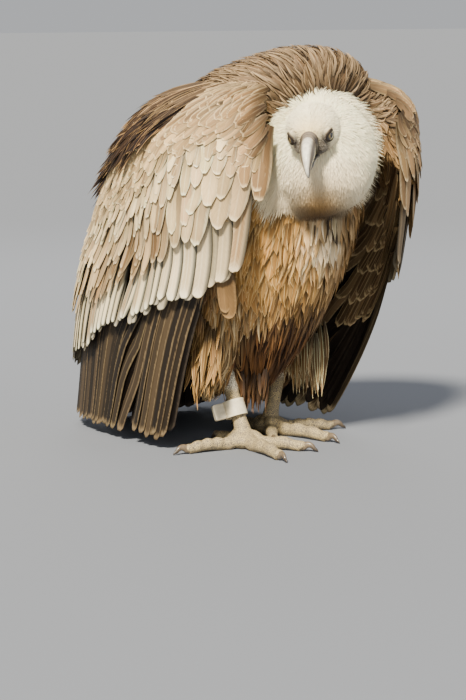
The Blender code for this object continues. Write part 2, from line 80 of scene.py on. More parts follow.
# %% [markdown]
# ## Small tools for whole arrays
# Colours are easiest to think of as a painter's 0 to 255 values, while shaders want linear light,
# so one helper turns one into the other. Vectors are kept in numpy arrays of any shape, the last
# axis being x, y, z. A bump is 1 at a place and falls off like a bell: it is used for lids, hollows
# and patches of colour alike, so a shape and its tint never part.

# %% Helpers
def tint(*rgb):
    """Linear colour from 0-255 values, by the 2.2 power."""
    return (np.array(rgb, dtype=float) / 255) ** 2.2


def unit(v):
    """Vectors divided by their own length."""
    return v / np.maximum(np.linalg.norm(v, axis=-1, keepdims=True), 1e-9)


def bell(points, middle, reach):
    """exp(-d*d), d being the distance from the middle measured in reaches along each axis."""
    return np.exp(-(((points - np.array(middle)) / np.array(reach)) ** 2).sum(-1))


def ramp(x, low, high):
    """Smooth step: 0 below low, 1 above high, 3t2 - 2t3 between."""
    t = np.clip((x - low) / (high - low), 0, 1)
    return t * t * (3 - 2 * t)


def blend_to(base, colour, share):
    """Base colours mixed towards another by a share of 0 to 1 for each point."""
    return base + (np.asarray(colour) - base) * np.asarray(share)[..., None]


def refine(table, count):
    """Rows of a table joined by a Catmull-Rom curve and read at count even steps."""
    table = np.asarray(table, dtype=float)
    padded = np.concatenate([2 * table[:1] - table[1:2], table, 2 * table[-1:] - table[-2:-1]])
    at = np.linspace(0, len(table) - 1, count)
    k = np.minimum(at.astype(int), len(table) - 2)
    t = (at - k)[:, None]
    a, b, c, d = (padded[k + i] for i in range(4))
    return 0.5 * (2 * b + (c - a) * t + (2 * a - 5 * b + 4 * c - d) * t**2 + (3 * b - a - 3 * c + d) * t**3)


def add_piece(name, verts, faces, material):
    """A mesh object at the origin from arrays, riding on the still body."""
    mesh = bpy.data.meshes.new(name)
    verts, faces = np.asarray(verts, dtype=np.float32), np.asarray(faces, dtype=np.int32)
    mesh.vertices.add(len(verts))
    mesh.vertices.foreach_set("co", verts.ravel())
    mesh.loops.add(faces.size)
    mesh.loops.foreach_set("vertex_index", faces.ravel())
    mesh.polygons.add(len(faces))
    mesh.polygons.foreach_set("loop_start", np.arange(0, faces.size, faces.shape[1], dtype=np.int32))
    mesh.update(calc_edges=True)
    mesh.validate()
    mesh.shade_smooth()
    mesh.materials.append(material)
    piece = bpy.data.objects.new(name, mesh)
    bpy.context.scene.collection.objects.link(piece)
    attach(piece, "root")
    return piece


def point_colours(mesh, name, colours):
    """Stores one linear colour for each vertex under a name that shaders can read."""
    layer = mesh.attributes.new(name, "FLOAT_COLOR", "POINT")
    full = np.concatenate([colours, np.ones((len(colours), 1))], axis=1)
    layer.data.foreach_set("color", full.astype(np.float32).ravel())


def corner_map(mesh, name, uv):
    """Stores a UV map from one pair for each vertex."""
    index = np.empty(len(mesh.loops), dtype=np.int32)
    mesh.loops.foreach_get("vertex_index", index)
    layer = mesh.uv_layers.new(name=name)
    layer.data.foreach_set("uv", uv[index].astype(np.float32).ravel())


def grid_faces(rows, columns, wrap=False):
    """Quads of a grid whose points are counted row by row, closed round when wrapped."""
    r, c = np.meshgrid(np.arange(rows - 1), np.arange(columns if wrap else columns - 1), indexing="ij")
    a, b = r * columns + c, r * columns + (c + 1) % columns
    return np.stack([a, b, b + columns, a + columns], axis=-1).reshape(-1, 4)


print("one value of grey 128 in linear light:", tint(128).round(3))


# %% [markdown]
# ## Shader groups
# A feather is a shaft with barbs that leave it at a slant. Drawing that with an image would need a
# picture of a feather; here it is worked out from the vane's own map, in which x runs across and y
# from root to tip. The same group serves quill, covert and down, each with its own values. Two more
# groups give the mosaic of small scales on the feet, and the growth lines and wear of horn.

# %% Node group tools
def new_group(name, inputs, outputs):
    """An empty shader node group with named sockets and their starting values."""
    group = bpy.data.node_groups.new(name, "ShaderNodeTree")
    kinds = {float: "NodeSocketFloat", tuple: "NodeSocketColor", str: "NodeSocketVector"}
    for label, value in inputs.items():
        socket = group.interface.new_socket(name=label, in_out="INPUT", socket_type=kinds[type(value)])
        if not isinstance(value, str):
            socket.default_value = value
    for label, kind in outputs.items():
        group.interface.new_socket(name=label, in_out="OUTPUT", socket_type=kinds[kind])
    start, end = group.nodes.new("NodeGroupInput"), group.nodes.new("NodeGroupOutput")
    return group, start.outputs, end.inputs


def wire(tree, socket, value):
    """Joins a socket to another one, or sets its value."""
    if isinstance(value, bpy.types.NodeSocket):
        tree.links.new(value, socket)
    else:
        socket.default_value = value


def math_node(tree, operation, *values):
    """Result of a Math node on sockets or numbers."""
    node = tree.nodes.new("ShaderNodeMath")
    node.operation = operation
    for socket, value in zip(node.inputs, values):
        wire(tree, socket, value)
    return node.outputs[0]


def smooth_mask(tree, value, low, high):
    """0 below low and 1 above high with a smooth step between."""
    node = tree.nodes.new("ShaderNodeMapRange")
    node.interpolation_type = "SMOOTHSTEP"
    for label, item in (("Value", value), ("From Min", low), ("From Max", high)):
        wire(tree, node.inputs[label], item)
    return node.outputs["Result"]


def colour_mix(tree, share, first, second, kind="MIX"):
    """Colours mixed by a share."""
    node = tree.nodes.new("ShaderNodeMix")
    node.data_type, node.blend_type = "RGBA", kind
    for index, value in ((0, share), (6, first), (7, second)):
        wire(tree, node.inputs[index], value)
    return node.outputs[2]


def noise(tree, vector, scale, detail=2.0, rough=0.5):
    """Value of a Noise texture on a vector."""
    node = tree.nodes.new("ShaderNodeTexNoise")
    tree.links.new(vector, node.inputs["Vector"])
    for label, value in (("Scale", scale), ("Detail", detail), ("Roughness", rough)):
        wire(tree, node.inputs[label], value)
    return node.outputs[0]


def combine(tree, x, y, z):
    """Vector of three values."""
    node = tree.nodes.new("ShaderNodeCombineXYZ")
    for socket, value in zip(node.inputs, (x, y, z)):
        wire(tree, socket, value)
    return node.outputs[0]


print("node tools ready")


# %% [markdown]
# ### The group for feathers
# Across the vane the colour goes from its middle to its rim, along it the root lies in the shade of
# the feather above, painted on. The shaft is a thin line, the barbs are noise stretched along slanted lines,
# and two masks paint shade: a thin painted shadow along the very edge and tip, and painted shade on the
# inner web, which on a wing lies under its neighbour.

# %% The vane's group
PATTERN = {"Color": tuple, "Height": float, "Roughness": float}


def vane_group():
    """Rim mask = step(max(across, along^6)); barbs = noise stretched along slanted lines."""
    inputs = {"Vane": "vector", "Centre": (0.2, 0.1, 0.05, 1.0), "Rim": (0.5, 0.4, 0.3, 1.0), "Seed": 0.0,
              "Rim Width": 0.25, "Rim Softness": 0.2, "Shaft": 0.5, "Streak": 0.4, "Barbs": 40.0,
              "Slant": 0.35, "Root Shade": 0.35, "Root Reach": 0.55, "Line": 0.0, "Inner Web": 0.0}
    group, given, out = new_group("feather_vane", inputs, PATTERN)
    m, mask = partial(math_node, group), partial(smooth_mask, group)
    parts = group.nodes.new("ShaderNodeSeparateXYZ")
    group.links.new(given["Vane"], parts.inputs[0])
    across = m("ABSOLUTE", m("MULTIPLY_ADD", parts.outputs[0], 2.0, -1.0))
    along = parts.outputs[1]
    slanted = m("SUBTRACT", along, m("MULTIPLY", across, given["Slant"]))
    field = combine(group, m("MULTIPLY", slanted, given["Barbs"]), m("MULTIPLY", across, 1.6),
                    m("MULTIPLY", given["Seed"], 37.0))
    barb = noise(group, field, 1.0, 3.0, 0.65)
    broad = noise(group, combine(group, parts.outputs[0], along, given["Seed"]), 3.0, 2.0)
    tip = m("POWER", m("MAXIMUM", along, 0.0), 6.0)
    outline = m("ADD", m("MAXIMUM", across, tip), m("MULTIPLY", m("SUBTRACT", barb, 0.5), 0.35))
    inner = m("SUBTRACT", m("SUBTRACT", 1.0, given["Rim Width"]), given["Rim Softness"])
    rim = mask(outline, inner, m("ADD", inner, m("MULTIPLY", given["Rim Softness"], 2.0)))
    colour = colour_mix(group, rim, given["Centre"], given["Rim"])
    shaft = m("MULTIPLY", m("SUBTRACT", 1.0, mask(across, 0.03, 0.12)), given["Shaft"])
    colour = colour_mix(group, shaft, colour, given["Rim"])
    mottle = m("SUBTRACT", m("ADD", barb, m("MULTIPLY", broad, 0.5)), 0.75)
    light = m("MULTIPLY_ADD", mottle, given["Streak"], 1.0)
    covered = m("SUBTRACT", 1.0, given["Root Shade"])
    root = m("MULTIPLY_ADD", mask(along, 0.0, given["Root Reach"]), given["Root Shade"], covered)
    # Painted shadow: a thin dark line along the edge and tip, where each vane shades the one below.
    edge_shadow = mask(m("MAXIMUM", across, m("POWER", along, 14.0)), 0.78, 1.0)
    light = m("MULTIPLY", light, m("SUBTRACT", 1.0, m("MULTIPLY", edge_shadow, given["Line"])))
    # Painted shade on the inner web, the half that lies under the neighbouring feather.
    web = mask(m("MULTIPLY_ADD", barb, 0.12, parts.outputs[0]), 0.76, 0.96)
    light = m("MULTIPLY", light, m("SUBTRACT", 1.0, m("MULTIPLY", web, given["Inner Web"])))
    light = m("MAXIMUM", m("MULTIPLY", light, root), 0.05)
    shade = combine(group, light, light, light)
    group.links.new(colour_mix(group, 1.0, colour, shade, "MULTIPLY"), out["Color"])
    group.links.new(m("MULTIPLY_ADD", shaft, 1.2, barb), out["Height"])
    group.links.new(m("MULTIPLY_ADD", barb, 0.25, 0.55), out["Roughness"])
    return group


VANE = vane_group()
print("feather group:", len(VANE.nodes), "nodes")


# %% [markdown]
# ### The groups for scaly skin and horn
# Scales are the cells of a Voronoi pattern with dark creases between them. Horn grows in layers, so
# its noise is squeezed along the length, and scuffs of a finer noise break the layers up.

# %% Groups for skin and horn
def scale_group():
    """Small plates: cells of a Voronoi pattern, light in the middle and dark in the creases."""
    inputs = {"Base": (0.4, 0.36, 0.3, 1.0), "Crease": (0.12, 0.1, 0.08, 1.0), "Plates": 420.0, "Grime": 0.5}
    group, given, out = new_group("scaly_skin", inputs, PATTERN)
    m, mask = partial(math_node, group), partial(smooth_mask, group)
    place = group.nodes.new("ShaderNodeTexCoord").outputs["Object"]
    cells = group.nodes.new("ShaderNodeTexVoronoi")
    cells.feature = "DISTANCE_TO_EDGE"
    group.links.new(place, cells.inputs["Vector"])
    group.links.new(given["Plates"], cells.inputs["Scale"])
    plate = mask(cells.outputs["Distance"], 0.02, 0.22)
    patch = noise(group, place, 60.0, 4.0, 0.6)
    colour = colour_mix(group, plate, given["Crease"], given["Base"])
    dark = m("MULTIPLY", mask(patch, 0.45, 0.75), given["Grime"])
    group.links.new(colour_mix(group, dark, colour, given["Crease"]), out["Color"])
    group.links.new(m("MULTIPLY_ADD", patch, 0.4, plate), out["Height"])
    group.links.new(m("MULTIPLY_ADD", plate, -0.15, 0.68), out["Roughness"])
    return group


def horn_group():
    """Growth lines: noise squeezed along the horn's length, with scuffs of a second noise."""
    inputs = {"Map": "vector", "Base": (0.4, 0.4, 0.42, 1.0), "Stain": (0.1, 0.1, 0.11, 1.0),
              "Lines": 30.0, "Wear": 0.5}
    group, given, out = new_group("horn_layers", inputs, PATTERN)
    m, mask = partial(math_node, group), partial(smooth_mask, group)
    parts = group.nodes.new("ShaderNodeSeparateXYZ")
    group.links.new(given["Map"], parts.inputs[0])
    field = combine(group, m("MULTIPLY", parts.outputs[0], 3.0),
                    m("MULTIPLY", parts.outputs[1], given["Lines"]), parts.outputs[2])
    line = noise(group, field, 1.0, 4.0, 0.6)
    place = group.nodes.new("ShaderNodeTexCoord").outputs["Object"]
    scuff = noise(group, place, 190.0, 5.0, 0.65)
    worn_away = mask(m("ADD", line, m("MULTIPLY", scuff, 0.6)), 0.62, 1.0)
    share = m("MULTIPLY", worn_away, given["Wear"])
    group.links.new(colour_mix(group, share, given["Base"], given["Stain"]), out["Color"])
    group.links.new(m("MULTIPLY_ADD", scuff, 0.4, line), out["Height"])
    group.links.new(m("MULTIPLY_ADD", scuff, 0.3, 0.22), out["Roughness"])
    return group


SCALE, HORN = scale_group(), horn_group()
print("more groups:", SCALE.name, HORN.name)


# %% [markdown]
# ### Materials
# Each material is one Principled shader fed by one group. The points of a mesh carry its colours,
# so a single material serves a whole tract, and only the make of the feather differs: soft and
# streaked on the body, tight with a pale rim on the wing, nearly smooth in the flights.

# %% Materials
def new_material(name, group, values, bump=0.3, depth=0.0004, **sockets):
    """A material whose Principled shader is fed by one group; plain numbers go on its own sockets."""
    material = bpy.data.materials.new(name)
    material.use_nodes = True
    tree = material.node_tree
    shader = tree.nodes["Principled BSDF"]
    node = tree.nodes.new("ShaderNodeGroup")
    node.node_tree = group
    for label, value in values.items():
        if isinstance(value, str) and value.startswith("map:"):  # the name of a UV map
            source = tree.nodes.new("ShaderNodeUVMap")
            source.uv_map = value[4:]
            tree.links.new(source.outputs[0], node.inputs[label])
        elif isinstance(value, str):  # the name of a point attribute
            source = tree.nodes.new("ShaderNodeAttribute")
            source.attribute_name = value
            plain = node.inputs[label].type == "VALUE"
            tree.links.new(source.outputs["Fac" if plain else "Color"], node.inputs[label])
        else:
            node.inputs[label].default_value = value
    tree.links.new(node.outputs["Color"], shader.inputs["Base Color"])
    tree.links.new(node.outputs["Roughness"], shader.inputs["Roughness"])
    relief = tree.nodes.new("ShaderNodeBump")
    relief.inputs["Strength"].default_value = bump
    relief.inputs["Distance"].default_value = depth
    tree.links.new(node.outputs["Height"], relief.inputs["Height"])
    tree.links.new(relief.outputs["Normal"], shader.inputs["Normal"])
    for label, value in sockets.items():
        shader.inputs[label.replace("_", " ")].default_value = value
    return material


def vane_material(name, values):
    """Feather material: colours come from the points, the pattern from the vane's own map."""
    given = {"Vane": "map:Vane", "Centre": "hue", "Rim": "rim", "Seed": "seed", **values}
    return new_material(name, VANE, given, bump=0.35, depth=0.0006, Specular_IOR_Level=0.28)


BODY_VANE = vane_material("body_feather", {
    "Streak": 0.70, "Barbs": 26.0, "Slant": 0.5, "Shaft": 0.60, "Rim Width": 0.10, "Rim Softness": 0.22,
    "Root Shade": 0.72, "Root Reach": 0.75})
MANTLE_VANE = vane_material("mantle_feather", {
    "Streak": 0.70, "Barbs": 30.0, "Slant": 0.6, "Shaft": 0.15, "Rim Width": 0.07, "Rim Softness": 0.12,
    "Root Shade": 0.4})
WING_VANE = vane_material("wing_covert", {
    "Streak": 0.62, "Barbs": 34.0, "Shaft": 0.22, "Line": 0.50, "Inner Web": 0.24, "Rim Width": 0.16,
    "Rim Softness": 0.26, "Root Shade": 0.70, "Root Reach": 0.85})
COVERT_VANE = vane_material("great_covert", {
    "Streak": 0.44, "Barbs": 60.0, "Slant": 0.2, "Shaft": 0.30, "Line": 0.80, "Inner Web": 0.78,
    "Rim Width": 0.36, "Rim Softness": 0.40, "Root Shade": 0.50, "Root Reach": 0.75})
FLIGHT_VANE = vane_material("flight_quill", {
    "Streak": 0.35, "Barbs": 90.0, "Slant": 0.12, "Shaft": 0.35, "Line": 0.7, "Rim Width": 0.16,
    "Rim Softness": 0.12})
DOWN_VANE = vane_material("soft_down", {"Streak": 0.22, "Barbs": 12.0, "Shaft": 0.0, "Root Shade": 0.12})
SKIN_UNDER = vane_material("skin_under_feathers", {
    "Streak": 0.8, "Barbs": 60.0, "Shaft": 0.0, "Rim Width": -1.0, "Root Shade": 0.0})
LEG_SKIN = new_material("leg_scales", SCALE, {"Base": "hue", "Plates": 430.0}, bump=0.7, depth=0.0006)
print("materials:", len(bpy.data.materials))


# %% [markdown]
# ## Vanes: one recipe for every feather
# A feather follows a short path over the body. Its vane is a strip across that path, rounded or
# pointed at the tip, a little arched, with its root tucked in and its tip lifted, so that it lies
# over the next like a roof tile. All feathers of a tract are worked out together: the arrays hold
# feather, step along and step across. A ragged tip comes from giving each column of the strip its
# own reach. A second UV map, OFBake, puts each feather's patch at its root's place on the unrolled skin.

# %% Shapes of feathers
PROFILES = {  # half width along the feather from root to tip, and how round the tip is
    "round": ((0, 0.2, 0.5, 0.74, 0.90, 1.0), (0.45, 0.76, 1.0, 0.97, 0.80, 0.55), 0.75),
    "lance": ((0, 0.2, 0.45, 0.7, 0.88, 1.0), (0.4, 0.85, 1.0, 0.82, 0.5, 0.10), 0.6),
    "scale": ((0, 0.2, 0.5, 0.8, 1.0), (0.45, 0.76, 1.0, 0.99, 0.82), 0.95),
    "quill": ((0, 0.15, 0.5, 0.85, 1.0), (0.5, 0.8, 1.0, 0.98, 0.90), 1.35),
    "wisp": ((0, 0.3, 0.7, 1.0), (0.6, 1.0, 0.7, 0.08), 0.0),
}
BAKE_PATCH = 0.003  # side of a small feather's square on the OFBake map


def along_path(path, steps):
    """Points of each path (N, K, 3) read at steps (N, R, C) of its length, in straight pieces."""
    last = path.shape[1] - 1
    at = np.clip(steps, 0, 1) * last
    k = np.minimum(at.astype(int), last - 1)
    t = (at - k)[..., None]
    n = np.arange(len(path))[:, None, None]
    return path[n, k] * (1 - t) + path[n, k + 1] * t


def unrolled(points):
    """The body unrolled round its upright middle: turn round it and height, from 0.01 to 0.99."""
    around = np.arctan2(points[:, 0], -(points[:, 1] - PLACE[1])) / (2 * math.pi) + 0.5
    height = points[:, 2] / CAD_BOX[1][2]
    return 0.01 + 0.98 * np.clip(np.stack([around, height], axis=1), 0, 1)


def sheets(count):
    """Places and size of squares that share out the whole OFBake map among large feathers."""
    across = math.ceil(math.sqrt(count))
    k = np.arange(count)
    return np.stack([(k % across + 0.5) / across, (k // across + 0.5) / across], axis=1), 0.92 / across


def freckle(colour, count, light=0.12, shift=0.04):
    """A colour for each feather with its own lightness and a slight drift towards red or blue."""
    base = np.broadcast_to(colour, (count, 3)) * (1 + light * RNG.normal(size=(count, 1)))
    return np.clip(base * (1 + shift * RNG.normal(size=(count, 3))), 0.004, 0.95)


print("profiles:", ", ".join(PROFILES))


# %% [markdown]
# ### The recipe itself
# Only the reach of each column and the seed of each feather are left to chance here. What varies
# from feather to feather, such as width, twist and lift, comes in as arrays from the tract.

# %% Vane recipe
def vanes(name, path, normal, half, hue, rim, material, profile="round", rows=6, columns=5, root=0.0,
          tip=0.005, arch=0.18, curl=0.0, ragged=0.0, twist=0.0, bake=None, patch=BAKE_PATCH, web=1):
    """Point = path + across u half profile(v) + normal (root + (tip - root) v - arch u2 half + curl v4).
    A column ends short of the tip by round * half * (1 - sqrt(1 - u2)), which rounds the end."""
    count, each = len(path), rows * columns
    v, u = np.linspace(0, 1, rows), np.linspace(-1, 1, columns)
    half = np.broadcast_to(half, (count,))
    root, tip, curl, twist = (np.broadcast_to(x, (count,))[:, None, None] for x in (root, tip, curl, twist))
    length = np.linalg.norm(np.diff(path, axis=1), axis=-1).sum(axis=1)
    places, widths, roundness = PROFILES[profile]
    short = roundness * (1 - np.sqrt(1 - 0.96 * u**2))[None, :] * (half / length)[:, None]
    reach = 1 - ragged * RNG.random((count, columns)) - np.minimum(short, 0.6)
    steps = v[None, :, None] * reach[:, None, :]
    where = along_path(path, steps)
    up = unit(along_path(normal, steps))
    way = unit(along_path(np.gradient(path, axis=1), steps))
    up = unit(up - way * (up * way).sum(-1, keepdims=True))
    across = np.cross(way, up) * np.cos(twist)[..., None] + up * np.sin(twist)[..., None]
    wide = half[:, None, None] * np.interp(v, places, widths)[None, :, None]
    side = u[None, None, :] * wide
    rise = root + (tip - root) * steps - arch * u[None, None, :] ** 2 * wide + curl * steps**4
    verts = where + across * side[..., None] + up * rise[..., None]
    first = (np.arange(count) * each)[:, None, None]
    faces = (grid_faces(rows, columns)[None] + first).reshape(-1, 4)
    piece = add_piece(name, verts.reshape(-1, 3), faces, material)
    local = np.stack(np.broadcast_arrays(web * u[None, :] * 0.5 + 0.5, v[:, None]), axis=-1)
    local = local.reshape(1, each, 2)
    corner_map(piece.data, "Vane", np.broadcast_to(local, (count, each, 2)).reshape(-1, 2))
    bake = unrolled(path[:, 0]) if bake is None else bake
    corner_map(piece.data, "OFBake", (bake[:, None, :] + (local - 0.5) * patch).reshape(-1, 2))
    point_colours(piece.data, "hue", np.repeat(np.broadcast_to(hue, (count, 3)), each, axis=0))
    point_colours(piece.data, "rim", np.repeat(np.broadcast_to(rim, (count, 3)), each, axis=0))
    seed = piece.data.attributes.new("seed", "FLOAT", "POINT")
    seed.data.foreach_set("value", np.repeat(RNG.random(count), each).astype(np.float32))
    print(f"{name}: {count} vanes, {len(faces) * 2} triangles")
    return piece


# %% [markdown]
# ## Head and bill measures
# The head has a frame of its own: x to the bird's left, y backwards and z up, turned and tipped on
# the neck. The tables below are the rings that the bill, the cere and the skull are lofted through.

# %% Head frame
TURN, NOD, ROLL = math.radians(-43), math.radians(16), math.radians(-6)
HEAD_PLACE = np.array((-0.0690, -0.2515, 0.533)) + PLACE
HEAD = np.array(Matrix.Rotation(TURN, 3, "Z") @ Matrix.Rotation(NOD, 3, "X") @ Matrix.Rotation(ROLL, 3, "Y"))
NECK = np.array((-0.008, -0.203, 0.492)) + PLACE
NECK_RADII = np.array((0.096, 0.088, 0.102))
EYE, EYE_RADIUS = np.array((0.0250, -0.0225, 0.004)), 0.0112
# each ring: how far ahead, height of its middle, half width, half height
SKULL_RINGS = (
    (-0.058, 0.002, 0.012, 0.012), (-0.050, 0.003, 0.027, 0.026), (-0.030, 0.003, 0.038, 0.036),
    (-0.008, 0.002, 0.041, 0.037), (0.010, 0.001, 0.0365, 0.034), (0.022, -0.001, 0.0310, 0.030),
    (0.034, -0.003, 0.0235, 0.025), (0.042, -0.004, 0.0170, 0.0205))
CERE_RINGS = (
    (0.0400, -0.001, 0.0146, 0.0184), (0.049, -0.001, 0.0131, 0.0168), (0.0560, -0.0018, 0.0126, 0.0158),
    (0.0566, -0.0019, 0.0123, 0.0155), (0.0569, -0.0019, 0.0112, 0.0144))
BILL_RINGS = (
    (0.0535, -0.0015, 0.0116, 0.0148), (0.0564, -0.0018, 0.0122, 0.0155), (0.068, -0.0030, 0.0127, 0.0148),
    (0.079, -0.0060, 0.0118, 0.0136), (0.088, -0.0105, 0.0100, 0.0126), (0.0957, -0.0170, 0.0076, 0.0108),
    (0.1000, -0.0250, 0.0050, 0.0083), (0.1005, -0.0325, 0.0032, 0.0052), (0.0985, -0.0375, 0.0014, 0.0020))
LOWER_RINGS = (
    (0.036, -0.0248, 0.0125, 0.0040), (0.060, -0.0240, 0.0098, 0.0048), (0.078, -0.0250, 0.0078, 0.0048),
    (0.087, -0.0284, 0.0043, 0.0032))


def from_head(points):
    """Points of the head's frame in the model's."""
    return points @ HEAD.T + HEAD_PLACE


def to_head(points):
    """Points of the model in the head's frame."""
    return (points - HEAD_PLACE) @ HEAD


def mirrored(q):
    """Points of the head's frame with both sides folded onto the left."""
    return np.abs(q) * (1, 0, 0) + q * (0, 1, 1)


print("head looks along", (HEAD @ (0, -1, 0)).round(3))


# %% [markdown]
# ## Markings
# Skin and feathers must agree, so one function gives the colour of any point of the body: grey-brown
# on the hump, golden brown on the breast, tawny on the thighs, with painted shadow under the throat
# and painted shade low on the belly and in the gap by the left wing. Each feather has two colours, one
# for its middle (hue) and one for its edge and shaft (rim).

# %% Colours by place
def layered(count, start, layers):
    """A start tint for each point, mixed towards each layer's tint in turn by the layer's share."""
    colour = np.tile(tint(*start), (count, 1))
    for share, paint in layers:
        colour = blend_to(colour, tint(*paint), share)
    return colour


def markings(points):
    """Hue and rim at each point: a start colour mixed towards others by height, depth and bells."""
    p = points - PLACE
    x, y, z = p.T
    hump = ramp(z, 0.44, 0.56)
    nape = hump * ramp(y, -0.120, -0.020)
    chest = ramp(-y, 0.02, 0.12) * (1 - hump)
    golden = chest * (1 - 0.75 * ramp(x, -0.030, 0.070)) * ramp(z, 0.20, 0.27)
    silk = np.clip(1.5 * bell(p, (0.024, -0.160, 0.342), (0.034, 0.09, 0.034)), 0, 1)
    # Painted shadow under the throat, where the ball of down shades the breast.
    throat_shadow = np.clip(1.4 * bell(p, (0.004, -0.190, 0.392), (0.060, 0.070, 0.018)), 0, 0.92)
    # Painted shade: darker towards the bottom of the belly, reaching higher on the bird's left.
    low = 1 - ramp(z + 0.35 * np.clip(x - 0.02, 0, 0.15), 0.18, 0.27)
    leg = (1 - ramp(z, 0.20, 0.29)) * ramp(-x, 0.050, 0.085)
    pale = low * bell(p, (0.110, -0.010, 0.130), (0.035, 0.070, 0.060))
    # Painted shade in the gap by the left wing's inner side, low on the left front.
    pit_shade = 0.9 * ramp(x, 0.085, 0.150) * ramp(-y, -0.06, 0.02) * (1 - ramp(z, 0.36, 0.44))
    hue = layered(len(p), (112, 86, 60), (
        (hump, (98, 78, 56)), (0.8 * nape, (52, 40, 28)), (chest, (120, 90, 54)), (golden, (164, 121, 64)),
        (silk, (232, 204, 158)), (throat_shadow, (30, 21, 14)), (low, (44, 26, 14)), (leg, (178, 136, 82)),
        (pale, (120, 88, 54)), (pit_shade, (40, 31, 24))))
    rim = layered(len(p), (182, 150, 112), (
        (hump, (166, 141, 108)), (0.8 * nape, (150, 122, 88)), (chest, (188, 152, 104)),
        (golden, (222, 185, 124)), (silk, (252, 236, 204)), (throat_shadow, (56, 42, 28)), (low, (128, 88, 50)),
        (leg, (248, 220, 168)), (pale, (240, 212, 160)), (pit_shade, (66, 52, 40))))
    return hue, rim


def head_markings(q):
    """Colours of the head's down, in the head's frame, the same on both sides."""
    side = mirrored(q)
    before_eye = bell(side, (0.0200, -0.0375, -0.0100), (0.0105, 0.0120, 0.0165))
    round_eye = bell(side, (0.0285, -0.0300, 0.0035), (0.0105, 0.0115, 0.0075))
    gape = bell(side, (0.0165, -0.0350, -0.0220), (0.0110, 0.0180, 0.0070))
    hue = layered(len(q), (250, 239, 204), (
        (0.9 * bell(side, (0.0, -0.040, 0.016), (0.030, 0.026, 0.022)), (232, 208, 150)),
        (0.8 * ramp(-q[:, 2], 0.004, 0.030), (206, 176, 124)),
        (0.97 * np.clip(1.9 * before_eye, 0, 1), (66, 55, 44)),
        (0.95 * np.clip(1.5 * round_eye, 0, 1), (62, 52, 42)),
        (0.95 * np.clip(1.8 * gape, 0, 1), (56, 46, 36))))
    return hue, blend_to(hue, tint(248, 244, 232), np.full(len(q), 0.35))


print("markings ready")


# %% [markdown]
# ## Wings
# The folded wings hang over the body like a cloak, so their feathers are laid on the cloak's own
# surface: a table gives its half width and depth at each height, and a place on it is a turn round
# the body and a height. Rows follow the hems. Small scaly coverts come first, then longer ones, the
# row of pale greater coverts, and from under these the dark flight feathers hang to the floor.

# %% The cloak's surface
# each level: its height, half width, middle, depth in front, depth behind, power of the curve
CLOAK = refine((
    (0.000, 0.195, 0.112, 0.185, 0.296, 3.0), (0.100, 0.218, 0.070, 0.190, 0.300, 3.0),
    (0.200, 0.236, 0.040, 0.196, 0.300, 3.0), (0.285, 0.244, 0.010, 0.196, 0.302, 2.9),
    (0.340, 0.250, -0.010, 0.190, 0.292, 2.8), (0.410, 0.265, -0.030, 0.185, 0.262, 2.5),
    (0.470, 0.268, -0.045, 0.180, 0.212, 2.4), (0.520, 0.262, -0.060, 0.165, 0.180, 2.3),
    (0.560, 0.238, -0.090, 0.140, 0.184, 2.3), (0.585, 0.206, -0.105, 0.110, 0.178, 2.3),
    (0.597, 0.176, -0.110, 0.090, 0.150, 2.3), (0.606, 0.140, -0.112, 0.066, 0.116, 2.3),
    (0.612, 0.100, -0.114, 0.040, 0.080, 2.3)), 240)
EDGE_LEVELS = (0.00, 0.12, 0.22, 0.28, 0.34, 0.42, 0.54, 0.597)
FRONT_EDGE = {RIGHT: (128, 130, 134, 141, 149, 155, 153, 146), LEFT: (120, 124, 129, 134, 142, 147, 150, 138)}
QUILL_EDGE = {RIGHT: (111, 116, 123, 128, 132, 136, 140, 140), LEFT: (99, 106, 116, 121, 125, 130, 134, 134)}
REAR_EDGE, LAYER, TUCK = 30.0, 0.0085, 0.0032
STATIONS = (0, 0.5, 0.8, 1)  # shares of the way from rear to front where spacings are given
CLIMB = np.cumsum(np.hypot(np.diff(CLOAK[:, 0]), 0.5 * np.diff(CLOAK[:, 1] + CLOAK[:, 3])))
CLIMB = np.concatenate([[0], CLIMB])


def climb(level):
    """Length of the way up the cloak's face from the floor to a level."""
    return np.interp(level, CLOAK[:, 0], CLIMB)


def level_at(length):
    """Level reached after so much of the way up."""
    return np.interp(length, CLIMB, CLOAK[:, 0])


def cloak(side, degrees, level, inward):
    """x = half |sin|^(2/p), y = middle + depth |cos|^(2/p), moved inward along the level's normal."""
    half, middle, front, rear, power = (np.interp(level, CLOAK[:, 0], CLOAK[:, k]) for k in range(1, 6))
    angle = np.radians(degrees)
    s, c = np.abs(np.sin(angle)), np.cos(angle)
    depth = np.where(c > 0, rear, front)
    x, y = half * s ** (2 / power), np.sign(c) * np.abs(c) ** (2 / power) * depth
    nx, ny = (x / half) ** (power - 1) / half, np.sign(c) * (np.abs(y) / depth) ** (power - 1) / depth
    across = np.sign(np.sin(angle) + 1e-9)  # -1 past the middle of the back or front
    out = unit(np.stack([side * nx * across, ny, np.zeros_like(nx)], axis=-1))
    spot = np.stack([side * x * across, middle + y, level], axis=-1)
    return spot - out * np.asarray(inward)[..., None] + PLACE, out


